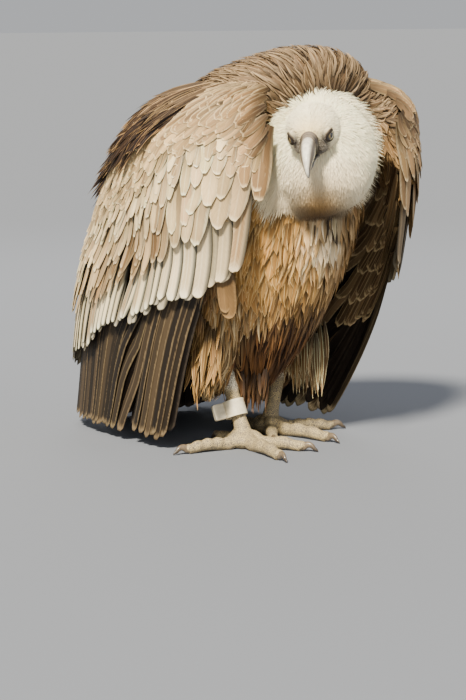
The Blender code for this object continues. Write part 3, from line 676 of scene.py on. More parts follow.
def hang(side, fraction, start, end, inward, lean=0.0, steps=7, turns=None, edge=FRONT_EDGE, follow=1.0):
    """Paths down the cloak between two heights, at a fraction of the way from rear edge to front.
    A path keeps the turn of its tip and follows the slope of the front edge only in part."""
    t = np.linspace(0, 1, steps)[None, :]
    level = level_at(climb(start)[:, None] + (climb(end) - climb(start))[:, None] * t)
    if turns is None:
        tip = np.broadcast_to(np.asarray(end, dtype=float).reshape(-1, 1), level.shape)
        front = np.interp(tip + (level - tip) * follow, EDGE_LEVELS, edge[side])
        degrees = REAR_EDGE + (front - REAR_EDGE) * fraction[:, None] - lean * t
    else:
        degrees = turns[0][:, None] + (turns[1] - turns[0])[:, None] * t
    depth = inward[0] + (inward[1] - inward[0]) * t + 0 * level
    spot, out = cloak(side, degrees, level, depth)
    way = unit(np.gradient(spot, axis=1))
    return spot, unit(out - way * (out * way).sum(-1, keepdims=True))


def hem(fraction, places, heights):
    """Height of a hem that falls from the front edge to the rear, read from a table."""
    return np.interp(fraction, places, heights)


def along_hem(side, above, places, heights, spacing, edge=FRONT_EDGE):
    """Fractions of feathers set along a hem: a running count of distance / spacing, read at whole numbers."""
    f = np.linspace(0, 1, 300)
    level = level_at(climb(hem(f, places, heights)) + above)
    turn = REAR_EDGE + (np.interp(level, EDGE_LEVELS, edge[side]) - REAR_EDGE) * f
    spot, _ = cloak(side, turn, np.minimum(level, 0.606), 0 * f)
    step = np.linalg.norm(np.diff(spot[:, :2], axis=0), axis=1) / np.interp(f[:-1], STATIONS, spacing)
    total = np.concatenate([[0], np.cumsum(step)])
    return np.interp(np.arange(int(total[-1]) + 1) + RNG.random() * 0.5, total, f)


print("cloak levels:", len(CLOAK), "way up:", CLIMB[-1].round(3))


# %% [markdown]
# ## The skin
# Under the feathers lies one skin. The body's part is grown from the solids of trunk, neck, wrists
# and thighs: they are joined by a voxel remesh, smoothed until no facet is left, and drawn in by the
# depth of the coat. The head is a loft of its own, because lids, brows and the hollow before the eye
# need finer points than the body does. The feet are tubes melted together at a fine step.

# %% Skin tools
def melt(meshes, voxel, rounds, depth):
    """Closed solids joined into one even surface, smoothed, and moved inward by the depth."""
    shell = bmesh.new()
    for mesh in meshes:
        shell.from_mesh(mesh)
    bmesh.ops.remove_doubles(shell, verts=shell.verts, dist=1e-6)
    mesh = bpy.data.meshes.new("melt")
    shell.to_mesh(mesh)
    shell.free()
    body = bpy.data.objects.new("melt", mesh)
    bpy.context.scene.collection.objects.link(body)
    step = body.modifiers.new("join", "REMESH")
    step.mode, step.voxel_size = "VOXEL", voxel
    step = body.modifiers.new("smooth", "SMOOTH")
    step.factor, step.iterations = 0.5, rounds
    if depth:
        step = body.modifiers.new("coat", "DISPLACE")
        step.strength, step.mid_level = -depth, 0.0
        step = body.modifiers.new("settle", "SMOOTH")
        step.factor, step.iterations = 0.5, 6
    grown = body.evaluated_get(bpy.context.evaluated_depsgraph_get()).to_mesh()
    verts = np.empty(len(grown.vertices) * 3, dtype=np.float32)
    grown.vertices.foreach_get("co", verts)
    faces = np.empty(len(grown.loops), dtype=np.int32)
    grown.loops.foreach_get("vertex_index", faces)
    body.to_mesh_clear()
    bpy.data.objects.remove(body)
    bpy.data.meshes.remove(mesh)
    return verts.reshape(-1, 3).astype(float), faces.reshape(-1, 4)


def closed(rings):
    """Rings with one more at each end, drawn in almost to a point, which closes the tube."""
    ends = [ring.mean(axis=1, keepdims=True) + (ring - ring.mean(axis=1, keepdims=True)) * 0.02
            for ring in (rings[:1], rings[-1:])]
    return np.concatenate([ends[0], rings, ends[1]])


def sweep(points, wide, tall, sides, floor=None, top_ridge=None):
    """Rings round a path, closed at both ends: point + level * wide * sin(a) + up * tall * cos(a)."""
    points = np.asarray(points, dtype=float)
    ways = unit(np.gradient(points, axis=0))
    level = unit(np.cross(ways, (0, 0, 1.0)) + 1e-6)
    up = np.cross(level, ways)
    angles = np.linspace(0, 2 * math.pi, sides, endpoint=False)
    tall = np.broadcast_to(tall, (len(points),))[:, None, None] * np.cos(angles)[None, :, None]
    if top_ridge is not None:
        tall = tall + top_ridge[:, None, None] * np.clip(np.cos(angles), 0, 1)[None, :, None] ** 0.5
    wide = np.broadcast_to(wide, (len(points),))[:, None, None]
    across = level[:, None] * wide * np.sin(angles)[None, :, None]
    rings = closed(points[:, None] + across + up[:, None] * tall)
    if floor is not None:
        rings[..., 2] = np.maximum(rings[..., 2], floor)
    return rings.reshape(-1, 3), grid_faces(len(rings), sides, wrap=True)


def outward(verts, faces):
    """Faces turned so that the closed shape's signed volume is positive."""
    a, b, c = (verts[faces[:, k]] for k in range(3))
    d = verts[faces[:, 3]]
    volume = (a * np.cross(b, c)).sum() + (a * np.cross(c, d)).sum()
    return faces if volume > 0 else faces[:, ::-1]


def stack(parts):
    """Several (verts, faces) put into one pair of arrays."""
    counts = np.cumsum([0] + [len(v) for v, _ in parts[:-1]])
    faces = [f + n for (_, f), n in zip(parts, counts)]
    return np.concatenate([v for v, _ in parts]), np.concatenate(faces)


def vertex_normals(verts, faces):
    """Area-weighted mean of the face normals round each vertex."""
    a, b, c, d = (verts[faces[:, k]] for k in range(4))
    face = np.cross(c - a, d - b)
    total = np.zeros_like(verts)
    for k in range(4):
        for axis in range(3):
            total[:, axis] += np.bincount(faces[:, k], face[:, axis], len(verts))
    return unit(total)


print("skin tools ready")


# %% [markdown]
# ### The body's part
# The trunk's solid ends under the folded wings, and there the skin is pressed in to lie inside the
# cloak. Low between the legs it is raised, so that the belly's long plumes and not the skin make
# its lower edge.

# %% The body's part of the skin
COAT = 0.0085
FLESH = ["trunk", "neck", "wing_right_shoulder", "wing_left_shoulder", "thigh_right", "thigh_left"]


def as_mesh(verts, faces):
    """A bare mesh block, faces outward."""
    mesh = bpy.data.meshes.new("part")
    mesh.from_pydata(verts.tolist(), [], outward(verts, faces).tolist())
    return mesh


def egg(middle, radii, rows=24, sides=36):
    """An ellipsoid by polar angle and turn."""
    t = np.linspace(0.01, math.pi - 0.01, rows)[:, None]
    a = np.linspace(0, 2 * math.pi, sides, endpoint=False)[None, :]
    ball = np.stack(np.broadcast_arrays(np.sin(t) * np.sin(a), np.sin(t) * np.cos(a), np.cos(t)), axis=-1)
    return middle + ball.reshape(-1, 3) * radii, grid_faces(rows, sides, wrap=True)


def cloak_size(p):
    """1 on the wings' outer face, less inside it; and the turn from the back in degrees."""
    d = p - PLACE
    half, middle, front, rear, power = (np.interp(d[:, 2], CLOAK[:, 0], CLOAK[:, k]) for k in range(1, 6))
    y = d[:, 1] - middle
    depth = np.where(y > 0, rear, front)
    size = ((np.abs(d[:, 0]) / half) ** power + (np.abs(y) / depth) ** power) ** (1 / power)
    return size, np.degrees(np.arctan2(np.abs(d[:, 0]) / half, y / depth)), middle


whole_neck = as_mesh(*egg(NECK, NECK_RADII * 0.97))
body_verts, body_faces = melt([*[frame["nodes"][n].data for n in FLESH], whole_neck], 0.0064, 9, COAT)
size, turn, middle = cloak_size(body_verts)
reach = np.linalg.norm(np.stack([body_verts[:, 0], body_verts[:, 1] - PLACE[1] - middle], axis=1), axis=1)
limit = 1 - 0.0105 / np.maximum(reach, 0.05)
x, _, z = body_verts.T
under = (turn < 148) & (z < 0.600) & (z > 0.18) & (size > limit) & (size < 1.15)
pull = np.where(under, limit / size, 1.0)[:, None]
centre = np.stack([0 * middle + PLACE[0], middle + PLACE[1]], axis=1)
body_verts[:, :2] = centre + (body_verts[:, :2] - centre) * pull
rise = 0.088 + 0.052 * ramp(x, 0.000, 0.055)
raised = np.maximum(z, rise + 0.25 * (z - rise) + PLACE[2])
body_verts[:, 2] = np.where(x < 0.075, raised, z)
print("body skin:", len(body_faces), "quads")


# %% [markdown]
# ### Head
# A griffon's head is long and flat-crowned, with a brow ridge over each eye, a hollow in front of it
# and a fold at the corner of the mouth. Each of these is a bell that pushes the loft in or out. The
# lids are two rolls of skin round an almond opening, and leave about two thirds of the eye to be seen.

# %% Head loft and lids
def head_relief(q):
    """How far each point of the head is pushed out, in metres."""
    s = mirrored(q)
    out = 0.0046 * bell(s, (0.0230, -0.0280, 0.0165), (0.0110, 0.0160, 0.0060))
    out -= 0.0040 * bell(s, (0.0310, -0.0240, 0.0030), (0.0130, 0.0130, 0.0105))
    out -= 0.0026 * bell(s, (0.0170, -0.0390, -0.0040), (0.0070, 0.0090, 0.0110))
    out += 0.0020 * bell(s, (0.0215, -0.0290, -0.0160), (0.0090, 0.0160, 0.0060))
    out -= 0.0016 * bell(s, (0.0180, -0.0340, -0.0235), (0.0080, 0.0170, 0.0025))
    return out


def head_surface(rows=76, sides=112, inset=0.0022):
    """Loft of the skull's rings, drawn in by the down's depth and shaped by the relief."""
    ahead, height, half, tall = refine(SKULL_RINGS, rows).T[:, :, None]
    a = np.linspace(0, 2 * math.pi, sides, endpoint=False)[None, :]
    shrink = 1 - inset / np.minimum(half, tall)
    x, z = half * shrink * np.sin(a), height + tall * shrink * np.cos(a)
    q = np.stack(np.broadcast_arrays(x, -ahead, z), axis=-1)
    q = np.concatenate([q[:1] * (0.02, 1, 0.02), q, q[-1:] * (0.02, 1, 0.02)]).reshape(-1, 3)
    faces = outward(q, grid_faces(rows + 2, sides, wrap=True))
    return q + vertex_normals(q, faces) * head_relief(q)[:, None], faces


def eye_frame(side):
    """Axis of an eye, the way square to its slanting lids, and the way along them."""
    axis = unit(np.array((side * 1.0, -0.55, -0.02)))
    up = np.array((0, -0.42, 1.0))
    up = unit(up - axis * np.dot(up, axis))
    return axis, up, np.cross(up, axis)


def eye_rays(side, polar, turn):
    """Directions from the eye's middle by the angle from its axis and the turn round it."""
    out, up, across = eye_frame(side)
    round_axis = up * np.cos(turn)[..., None] + across * np.sin(turn)[..., None]
    return out * np.cos(polar)[..., None] + round_axis * np.sin(polar)[..., None]


def lid(side, turns=72, steps=14):
    """Roll round the eye: from the almond rim to behind the eye the radius bulges, then sinks."""
    phi = np.linspace(0, 2 * math.pi, turns, endpoint=False)[:, None]
    t = np.linspace(0, 1, steps)[None, :]
    rim = 41 - 15 * np.maximum(np.cos(phi), 0) - 1 * np.maximum(-np.cos(phi), 0) + 11 * np.sin(phi) ** 2
    theta = np.radians(rim + (104 - rim) * t)
    brow = np.maximum(np.cos(phi), 0) ** 1.5
    roll = (0.0015 + 0.0016 * brow) * np.sin(math.pi * np.clip(t * 2.4 + 0.12, 0, 1)) * (t < 0.37)
    radius = EYE_RADIUS + 0.0001 + roll + np.where(t < 0.37, 0, 0.0004)
    radius = radius + 0.0004 * np.sin(math.pi * np.clip(t * 1.5, 0, 1))
    q = EYE * (side, 1, 1) + eye_rays(side, theta, phi) * radius[..., None]
    faces = grid_faces(steps, turns, wrap=True)
    q = q.transpose(1, 0, 2).reshape(-1, 3)
    middle = q - EYE * (side, 1, 1)
    a, b, c = (q[faces[:, k]] for k in range(3))
    if (np.cross(b - a, c - a) * middle[faces[:, 0]]).sum() < 0:
        faces = faces[:, ::-1]
    low = np.repeat(-np.cos(phi), steps, axis=1).T.reshape(-1)
    out_t = np.repeat(t, turns, axis=0).T.reshape(-1)
    return q, faces, np.clip(low, 0, 1), out_t


head_q, head_faces = head_surface()
lids = [lid(RIGHT), lid(LEFT)]
print("head:", len(head_faces), "quads; lids:", sum(len(lid_part[1]) for lid_part in lids))


# %% [markdown]
# ### Legs and feet
# The shank and toes are bare. Every toe swells at its joints, lies flat below, and carries a row of
# broad plates on top, which are raised in the mesh itself; the mosaic of small scales between them
# is left to the material. The tubes run into the palm, so the voxel remesh makes webs where they meet.

# %% Feet
HEELS = {RIGHT: np.array((-0.062, -0.004, 0.122)), LEFT: np.array((0.088, 0.046, 0.128))}
FEET = {RIGHT: np.array((-0.055, -0.048, 0.018)), LEFT: np.array((0.062, 0.044, 0.018))}
TOE_TURN, OUTER_SPREAD = {RIGHT: 10.0, LEFT: 12.0}, {RIGHT: 22.0, LEFT: 0.0}
TOES = (("outer", 60.0, 0.080, 0.0112, 4), ("middle", 0.0, 0.100, 0.0122, 3),
        ("inner", -44.0, 0.070, 0.0116, 2), ("hind", 172.0, 0.044, 0.0110, 1))
TOE_START, CLAW_LENGTH = 0.0335, 0.034


def toe_way(side, label, outward_turn):
    """Level direction of a toe, so many degrees outward of straight ahead."""
    angle = math.radians(TOE_TURN[side] + outward_turn + (OUTER_SPREAD[side] if label == "outer" else 0.0))
    return np.array((side * math.sin(angle), -math.cos(angle), 0.0))


def toe_tube(side, label, outward_turn, length, radius, joints):
    """Radius * (0.97 + 0.07 cos(2 pi joints s)) * (1 - 0.22 s), with plates every 5.8 mm on top."""
    way, foot = toe_way(side, label, outward_turn), FEET[side] * (1, 1, 0) + PLACE
    s = np.linspace(-0.30, 1.0, 150)
    bare = np.clip(s, 0, 1)  # along the free part of the toe
    thick = radius * (0.97 + 0.07 * np.cos(2 * math.pi * joints * bare)) * (1 - 0.22 * bare)
    thick = thick * (1 - 0.35 * ramp(s, 0.96, 1.0) ** 2)
    height = thick * 0.80 + 0.004 * np.sin(math.pi * bare) + 0.010 * ramp(-s, 0.0, 0.30)
    points = foot + way * (TOE_START + length * s)[:, None] + np.array((0, 0, 1.0)) * height[:, None]
    plates = 0.0008 * np.abs(np.sin(math.pi * (TOE_START + length * s) / 0.0058)) ** 0.7 * ramp(s, -0.1, 0.1)
    return sweep(points, thick * 0.95, thick * 0.96, 40, floor=0.0, top_ridge=plates)


def shank_tube(side):
    """Shank from above the heel down into the palm, knobbed at both ends."""
    heel, foot = HEELS[side] + PLACE, FEET[side] + PLACE
    s = np.linspace(-0.42, 1.0, 150)
    places = (-0.42, -0.2, 0.0, 0.14, 0.35, 0.75, 0.94, 1.0)
    thick = 0.0130 * np.interp(s, places, (1.0, 1.08, 1.30, 1.12, 0.95, 0.95, 1.15, 1.18))
    points = heel + (foot - heel) * s[:, None]
    points = points + np.array((0.0, 0.020, 0.0)) * ramp(-s, 0.0, 0.42)[:, None]
    return sweep(points, thick * 0.94, thick * 1.02, 40)


def palm(side):
    """Low dome under the shank, flat where it rests on the floor."""
    a, t = np.linspace(0, 2 * math.pi, 40, endpoint=False)[None, :], np.linspace(0, 1, 24)[:, None]
    lift = np.radians(-90 + 180 * t)
    wide = 0.0285 * np.cos(lift)
    ring = np.stack(np.broadcast_arrays(wide * np.sin(a), wide * np.cos(a), 0.013 + 0.0150 * np.sin(lift)),
                    axis=-1)
    ring[..., 2] = np.maximum(ring[..., 2], 0.0)
    return (ring + FEET[side] * (1, 1, 0) + PLACE).reshape(-1, 3), grid_faces(24, 40, wrap=True)


leg_parts = []
for side in (RIGHT, LEFT):
    tubes = [shank_tube(side), palm(side), *[toe_tube(side, *toe) for toe in TOES]]
    leg_parts.append(melt([as_mesh(*tube) for tube in tubes], 0.0017, 3, 0.0))
    print("leg skin:", WORDS[side], len(leg_parts[-1][1]), "quads")


# %% [markdown]
# ### One skin
# All parts go into one mesh, so that the coat can lie across their seams. The skin takes the colours
# of the feathers above it, darkened as painted shade, since it is seen in the shaded gaps between them.
# Shanks and toes get the scaly material. The rest gets the plain one.

# %% One skin
SHIN = np.array((0.084, 0.020, 0.150))


def near_shin(p, radii):
    """The front of the left leg above its heel, where only short down grows."""
    return np.linalg.norm((p - PLACE - SHIN) / radii, axis=1) < 1


def lid_colours(q, low, out):
    """A dark roll, pale wrinkles on the lower lid, and the head's own colour behind them."""
    wrinkle = (0.5 + 0.5 * np.sin(70 * out)) * ramp(low, 0.1, 0.8) * ramp(out, 0.05, 0.15)
    hue = layered(len(q), (44, 36, 29), ((wrinkle, (150, 134, 104)),))
    return blend_to(hue, head_markings(q)[0] * 0.75, ramp(out, 0.26, 0.40))


head_verts = from_head(head_q)
lid_parts = [(from_head(q), f) for q, f, _, _ in lids]
skin_parts = [(body_verts, body_faces), (head_verts, head_faces), *lid_parts, *leg_parts]
skin_verts, skin_faces = stack(skin_parts)
ball = np.linalg.norm((body_verts - NECK) / NECK_RADII, axis=1)
shin = near_shin(body_verts, (0.044, 0.066, 0.056))
hue_body = np.where(shin[:, None], tint(170, 145, 104) / 0.55, markings(body_verts)[0])
# The body's skin is painted at 0.55 of the feathers' colour: painted shade, as it shows only in the gaps.
hue_body = blend_to(hue_body * 0.55, tint(214, 204, 182), 1 - ramp(ball, 1.0, 1.06))
height = np.concatenate([v for v, _ in leg_parts])[:, 2]
sole = 0.45 * (1 - ramp(height, 0.000, 0.009))
hue_legs = layered(len(height), (196, 174, 124), (
    (ramp(height, 0.090, 0.105), (248, 238, 210)), (sole, (176, 142, 78))))
hue_lids = [lid_colours(q, low, out) for q, _, low, out in lids]
# The head's skin is painted at 0.9 of its down's colour, a little painted shade.
skin_hue = np.concatenate([hue_body, head_markings(head_q)[0] * 0.9, *hue_lids, hue_legs])
skin = add_piece("vulture_skin", skin_verts, skin_faces, SKIN_UNDER)
skin.data.materials.append(LEG_SKIN)
body_count = len(body_faces) + len(head_faces) + sum(len(f) for _, f in lid_parts)
slots = np.zeros(len(skin_faces), dtype=np.int32)
slots[body_count:] = 1
skin.data.polygons.foreach_set("material_index", slots)
point_colours(skin.data, "hue", skin_hue)
point_colours(skin.data, "rim", skin_hue)
skin.data.attributes.new("seed", "FLOAT", "POINT")
corner_map(skin.data, "Vane", unrolled(skin_verts) * (14.0, 10.0))
corner_map(skin.data, "OFBake", unrolled(skin_verts))
LEGS = [f"{part}_{WORDS[side]}" for side in (RIGHT, LEFT) for part in ("tarsus", "foot")]
LEGS += [f"toe_{WORDS[side]}_{toe[0]}" for side in (RIGHT, LEFT) for toe in TOES]
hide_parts(*FLESH, "head", *LEGS)
print("skin:", len(skin_faces) * 2, "triangles")


# %% [markdown]
# ## Where feathers grow and which way they lie
# Roots are scattered evenly over the skin: many random spots are thrown, and one is kept in each
# small cube of space. From its root each feather walks over the skin in short steps, always turned
# the way the coat lies there: away from the neck on the hump and shoulders, and more and more
# downward on the breast and belly. So long feathers bend round the body in place of cutting into it.

# %% Scatter and walk
SKIN_TREE = BVHTree.FromPolygons(skin_verts.tolist(), skin_faces.tolist())
FACE_NORMALS = unit(vertex_normals(skin_verts, skin_faces)[skin_faces].mean(axis=1))
CUBE_CODE = np.array((1, 4096, 4096 * 4096))  # turns the three counts of a cube into one number


def scatter(faces, spacing, keep):
    """Even random spots: faces drawn by area, spots thrown on them, one kept in each cube of that size."""
    corners = skin_verts[faces]
    doubled = np.cross(corners[:, 2] - corners[:, 0], corners[:, 3] - corners[:, 1])
    area = np.linalg.norm(doubled, axis=1) / 2
    count = int(area.sum() / spacing**2 * 5)
    pick = RNG.choice(len(faces), count, p=area / area.sum())
    s, t = RNG.random((2, count, 1))
    c = corners[pick]
    spots = (c[:, 0] * (1 - s) + c[:, 1] * s) * (1 - t) + (c[:, 3] * (1 - s) + c[:, 2] * s) * t
    cube = np.floor(spots / spacing).astype(np.int64)
    _, first = np.unique(cube @ CUBE_CODE, return_index=True)
    spots = spots[first]
    return spots[keep(spots)]


def on_skin(points):
    """Nearest point of the skin and its smooth normal, for each point."""
    hits = [SKIN_TREE.find_nearest(p) for p in points.tolist()]
    return np.array([h[0] for h in hits]), FACE_NORMALS[np.array([h[2] for h in hits])]


def walk(roots, lengths, lie, steps=4):
    """Paths over the skin: each step goes a share of the length along the lie, then back onto the skin."""
    at, up = on_skin(roots)
    path, normal = [at], [up]
    for _ in range(steps):
        way = lie(at, up)
        at, up = on_skin(at + way * (lengths / steps)[:, None])
        path.append(at)
        normal.append(up)
    return np.stack(path, axis=1), np.stack(normal, axis=1)


def tangent(field, up):
    """The part of a field that lies along the skin, as a unit vector."""
    return unit(field - up * (field * up).sum(-1, keepdims=True))


def body_lie(p, up):
    """Away from the neck, plus a downward pull that grows below the shoulders, plus a little noise."""
    height = p[:, 2:3] - PLACE[2]
    drop = 0.30 + 2.6 * (1 - ramp(height, 0.30, 0.60))
    back = 0.55 * ramp(height, 0.52, 0.64)
    field = unit(p - NECK) + drop * np.array((0, 0, -1.0)) + back * np.array((0, 1.0, 0))
    return tangent(field + 0.16 * RNG.normal(size=p.shape), up)


def neck_lie(p, up):
    """Away from the face and a little downward."""
    field = unit(p - (HEAD_PLACE + np.array((0.012, -0.010, 0.004)))) + np.array((0, 0, -0.45))
    return tangent(field + 0.14 * RNG.normal(size=p.shape), up)


def head_lie(p, up):
    """Backwards over the crown and down over the cheeks, in the head's frame."""
    q = to_head(p)
    down = -0.35 - 8 * np.clip(-q[:, 2], 0, 0.03)
    field = np.stack([0.25 * np.sign(q[:, 0]), np.ones(len(q)), down], axis=1)
    return tangent(field @ HEAD.T + 0.12 * RNG.normal(size=p.shape), up)


def neck_ball(points):
    """1 on the ball of down that the drawn-in neck makes, more outside it."""
    return np.linalg.norm((points - NECK) / NECK_RADII, axis=1)


print("ready to feather", len(skin_faces), "faces")


# %% [markdown]
# ## Body feathers
# Breast, belly and hump carry narrow, pointed feathers with frayed tips, brown with a paler shaft
# and edge, which from a step away run together into streaks. They keep off the ball of down, the
# shin and the outer face of the wings. Neighbours draw their tips together, as real plumage clumps.

# %% Contour feathers
SIGHT, SEEN_FROM = np.array((0.819, -0.574, 0.0)), np.array((-0.574, -0.819, 0.0))


def wing_cover(p):
    """True on the outer face of the folded wings, which has rows of its own."""
    size, turn, _ = cloak_size(p)
    height = p[:, 2] - PLACE[2]
    return (size > 0.88) & (turn < np.where(height < 0.30, 122, 140)) & (height < 0.585) & (height > 0.19)


def above_fold(p):
    """Height over the throat's lower edge, which rises as the square of the distance from its middle."""
    aside = (p - NECK) @ SIGHT + 0.006
    return p[:, 2] - PLACE[2] - 0.399 - 6.5 * aside**2


def crown(p):
    """True where the mantle hangs over the top of the ball, above a line that falls away sideways."""
    aside = (p - NECK) @ SIGHT - 0.010
    return (p[:, 2] - PLACE[2] > 0.589 - 5.0 * aside**2) & (p[:, 2] - PLACE[2] > 0.5)


def on_shin(p):
    """Where the shin's down grows, a little inside the patch that feathers leave free."""
    return near_shin(p, (0.040, 0.060, 0.050))


def on_body(p):
    """Body skin outside the neck's down and not under the wings."""
    ball, low = neck_ball(p), (above_fold(p) < 0.0) & (p[:, 2] - PLACE[2] < 0.46)
    open_skin = (ball > 1.03) | (low & (ball > 0.80)) | (crown(p) & (ball > 0.8))
    return open_skin & ~wing_cover(p) & ~on_shin(p)


def clumped(path, cell=0.036, share=0.40):
    """Tips drawn towards the mean tip of their neighbours, as t squared, so that plumes end in points."""
    cube = np.floor(path[:, -1] / cell + RNG.normal(0, 0.12, (len(path), 3))).astype(np.int64)
    _, home, number = np.unique(cube @ CUBE_CODE, return_inverse=True, return_counts=True)
    middle = np.stack([np.bincount(home, path[:, -1, k]) / number for k in range(3)], axis=1)[home]
    t = np.linspace(0, 1, path.shape[1])[None, :, None]
    return path + (middle - path[:, -1])[:, None] * share * t**2


body_skin = skin_faces[:len(body_faces)]
roots = scatter(body_skin, 0.0132, on_body)
n = len(roots)
height = roots[:, 2] - PLACE[2]
long = 0.058 + 0.004 * ramp(height, 0.50, 0.62) + 0.008 * (1 - ramp(height, 0.18, 0.28))
path, normal = walk(roots, long * RNG.uniform(0.85, 1.20, n), body_lie)
path = clumped(path)
hue, rim = markings(path[:, 2] + RNG.normal(0, 0.012, (n, 3)))
chest = bell(roots - PLACE, (-0.030, -0.19, 0.36), (0.06, 0.10, 0.06))
slim = 1.12 - 0.60 * (1 - ramp(height, 0.19, 0.27)) + 0.25 * chest
half = 0.0084 * slim * RNG.uniform(0.75, 1.15, n)
hue = freckle(hue, n, 0.16, 0.015)
rim = freckle(rim, n, 0.12, 0.012)
tip = 0.0045 + 0.0065 * RNG.random(n) ** 2
vanes("coat_contour", path, normal, half, hue, rim, BODY_VANE, "lance", rows=7, columns=5,
      root=0.0005, tip=tip, arch=0.30, ragged=0.16, twist=RNG.normal(0, 0.20, n), curl=0.0012)


# %% [markdown]
# ### Loose strands
# Over the feathers lie their free barbs, which break up the outline. Each is a strip two points
# wide. They are thinned out on the upper breast, where the plumage lies smoothest. The same recipe
# serves the strands and, further on, every kind of down.

# %% Strands and tufts
def tufts(name, path, normal, half, hue, rim, rows, root, tips, widths=(0.7, 1.3), swing=0.35, extra=0.0,
          material=DOWN_VANE, slot="down_white"):
    """Thin strips: width, height of the tip and twist vary from one to the next."""
    count = len(path)
    half = half * RNG.uniform(*widths, count)
    tip = RNG.uniform(*tips, count) + extra
    return vanes(name, path, normal, half, hue, rim, material, "wisp", rows=rows, columns=2, root=root,
                 tip=tip, arch=0.0, twist=RNG.normal(0, swing, count))


def belly(p):
    """1 on the belly and between the legs, 0 from the lower breast upwards."""
    return 1 - ramp(p[:, 2] - PLACE[2], 0.18, 0.28)


roots = scatter(body_skin, 0.0100, on_body)
height = roots[:, 2] - PLACE[2]
few = (1 - belly(roots)) * ramp(-roots[:, 1], 0.0, 0.1) * (1 - ramp(height, 0.44, 0.50))
roots = roots[RNG.random(len(roots)) > 0.75 * few]
n, low = len(roots), belly(roots)
long = (0.030 + 0.012 * ramp(roots[:, 2] - PLACE[2], 0.50, 0.62) + 0.030 * low) * RNG.uniform(0.6, 1.3, n)
path, normal = walk(roots, long, body_lie, 4)
path = clumped(path, 0.030, 0.5)
hue, rim = markings(path[:, 2] + RNG.normal(0, 0.012, (n, 3)))
strand = blend_to(hue, rim, RNG.uniform(0.1, 0.9, n))
tufts("coat_strands", path, normal, 0.0016, strand * 0.9, strand * 1.15, 6, 0.0045, (0.0070, 0.0110),
      (0.6, 1.5), 0.4, 0.006 * low, BODY_VANE, "mantle_brown")


# %% [markdown]
# ### Shin down
# Short buff hair-like down runs a little way over the front of the left leg, above its heel.

# %% Shin down
roots = scatter(body_skin, 0.0024, on_shin)
n = len(roots)
path, normal = walk(roots, 0.012 * RNG.uniform(0.7, 1.2, n), body_lie, 3)
hue = np.tile(tint(186, 160, 114), (n, 1)) * RNG.uniform(0.7, 1.15, (n, 1))
tufts("coat_shin_down", path, normal, 0.0009, np.clip(hue, 0, 0.9), np.clip(hue * 1.1, 0, 0.9), 4, 0.0004,
      (0.002, 0.004), slot="mantle_brown")


# %% [markdown]
# ### Hanging plumes
# On flank, thigh and vent the feathers are long and hang free of the skin. Their roots are strewn in
# a soft egg, and each falls straight, a little aslant.

# %% Plumes
def plumes(name, middle, reach, count, length, half, hue, rim, slant):
    """Long lances hanging from a soft egg of roots: point = root + length (slant x, slant y, -1) s."""
    roots = PLACE + np.array(middle) + np.clip(RNG.normal(0, 0.6, (count, 3)), -1.2, 1.2) * reach
    s = np.linspace(0, 1, 6)[None, :, None]
    way = unit(np.array((*slant, -1.0)) + RNG.normal(0, 0.10, (count, 3)))[:, None]
    path = roots[:, None] + way * s * (length * RNG.uniform(0.50, 1.12, count))[:, None, None]
    normal = unit(SEEN_FROM + RNG.normal(0, 0.35, (count, 3)))[:, None]
    normal = unit(np.broadcast_to(normal, path.shape))
    half = half * RNG.uniform(0.6, 1.2, count)
    hue = freckle(tint(*hue), count, 0.25, 0.02)
    rim = freckle(tint(*rim), count, 0.15, 0.02)
    return vanes(name, path, normal, half, hue, rim, BODY_VANE, "lance", rows=7, columns=5,
                 arch=0.35, ragged=0.15, twist=RNG.normal(0, 0.35, count), curl=0.004)


plumes("coat_flank_plumes", (0.106, 0.004, 0.180), (0.020, 0.030, 0.018), 56, 0.110, 0.0055,
       (110, 82, 50), (255, 234, 184), (-0.05, -0.10))
plumes("coat_vent_plumes", (-0.026, -0.022, 0.128), (0.020, 0.030, 0.012), 60, 0.076, 0.0034,
       (60, 40, 23), (132, 98, 58), (-0.10, -0.05))
plumes("coat_thigh_plumes", (-0.132, -0.046, 0.190), (0.018, 0.026, 0.036), 70, 0.080, 0.0052,
       (110, 80, 44), (212, 176, 116), (-0.20, -0.05))


# %% [markdown]
# ## Down of the neck and head
# The neck is a ball of white down: short tufts in front, longer towards its rim, where they stand out
# over the brown mantle as a ruff. The head's down is shorter still, and leaves bare the eyes, the
# strip before them and the bill.

# %% Neck down
def on_neck(p):
    """The ball of down, without the part inside the head and the dark fold under the throat."""
    inside = np.linalg.norm(to_head(p) / (0.034, 0.050, 0.032), axis=1) < 1
    over_throat = (above_fold(p) > 0.0) | (p[:, 2] - PLACE[2] > 0.46)
    return (neck_ball(p) < 1.09) & ~inside & (p[:, 1] < NECK[1] + 0.055) & over_throat & ~crown(p)


def neck_colours(p):
    """White, with a buff cast below the bill that is partly painted shadow of the bill, and painted shade in
    dark brown on the ball's underside.
    """
    d = (p - NECK) / NECK_RADII
    across = (p - NECK) @ SIGHT / 0.095
    # Buff below the bill, partly the down's tone and partly painted shadow of the bill.
    under = np.exp(-((across + 0.10) ** 2 / 0.34 + (d[:, 2] + 0.72) ** 2 / 0.26))
    # Painted shade: dark brown on the ball's underside.
    deep = ramp(-d[:, 2], 0.55, 0.92) * (1 - ramp(np.abs(across + 0.05), 0.55, 0.95))
    return layered(len(p), (250, 238, 204), ((0.95 * under, (158, 120, 68)), (0.92 * deep, (64, 46, 27))))


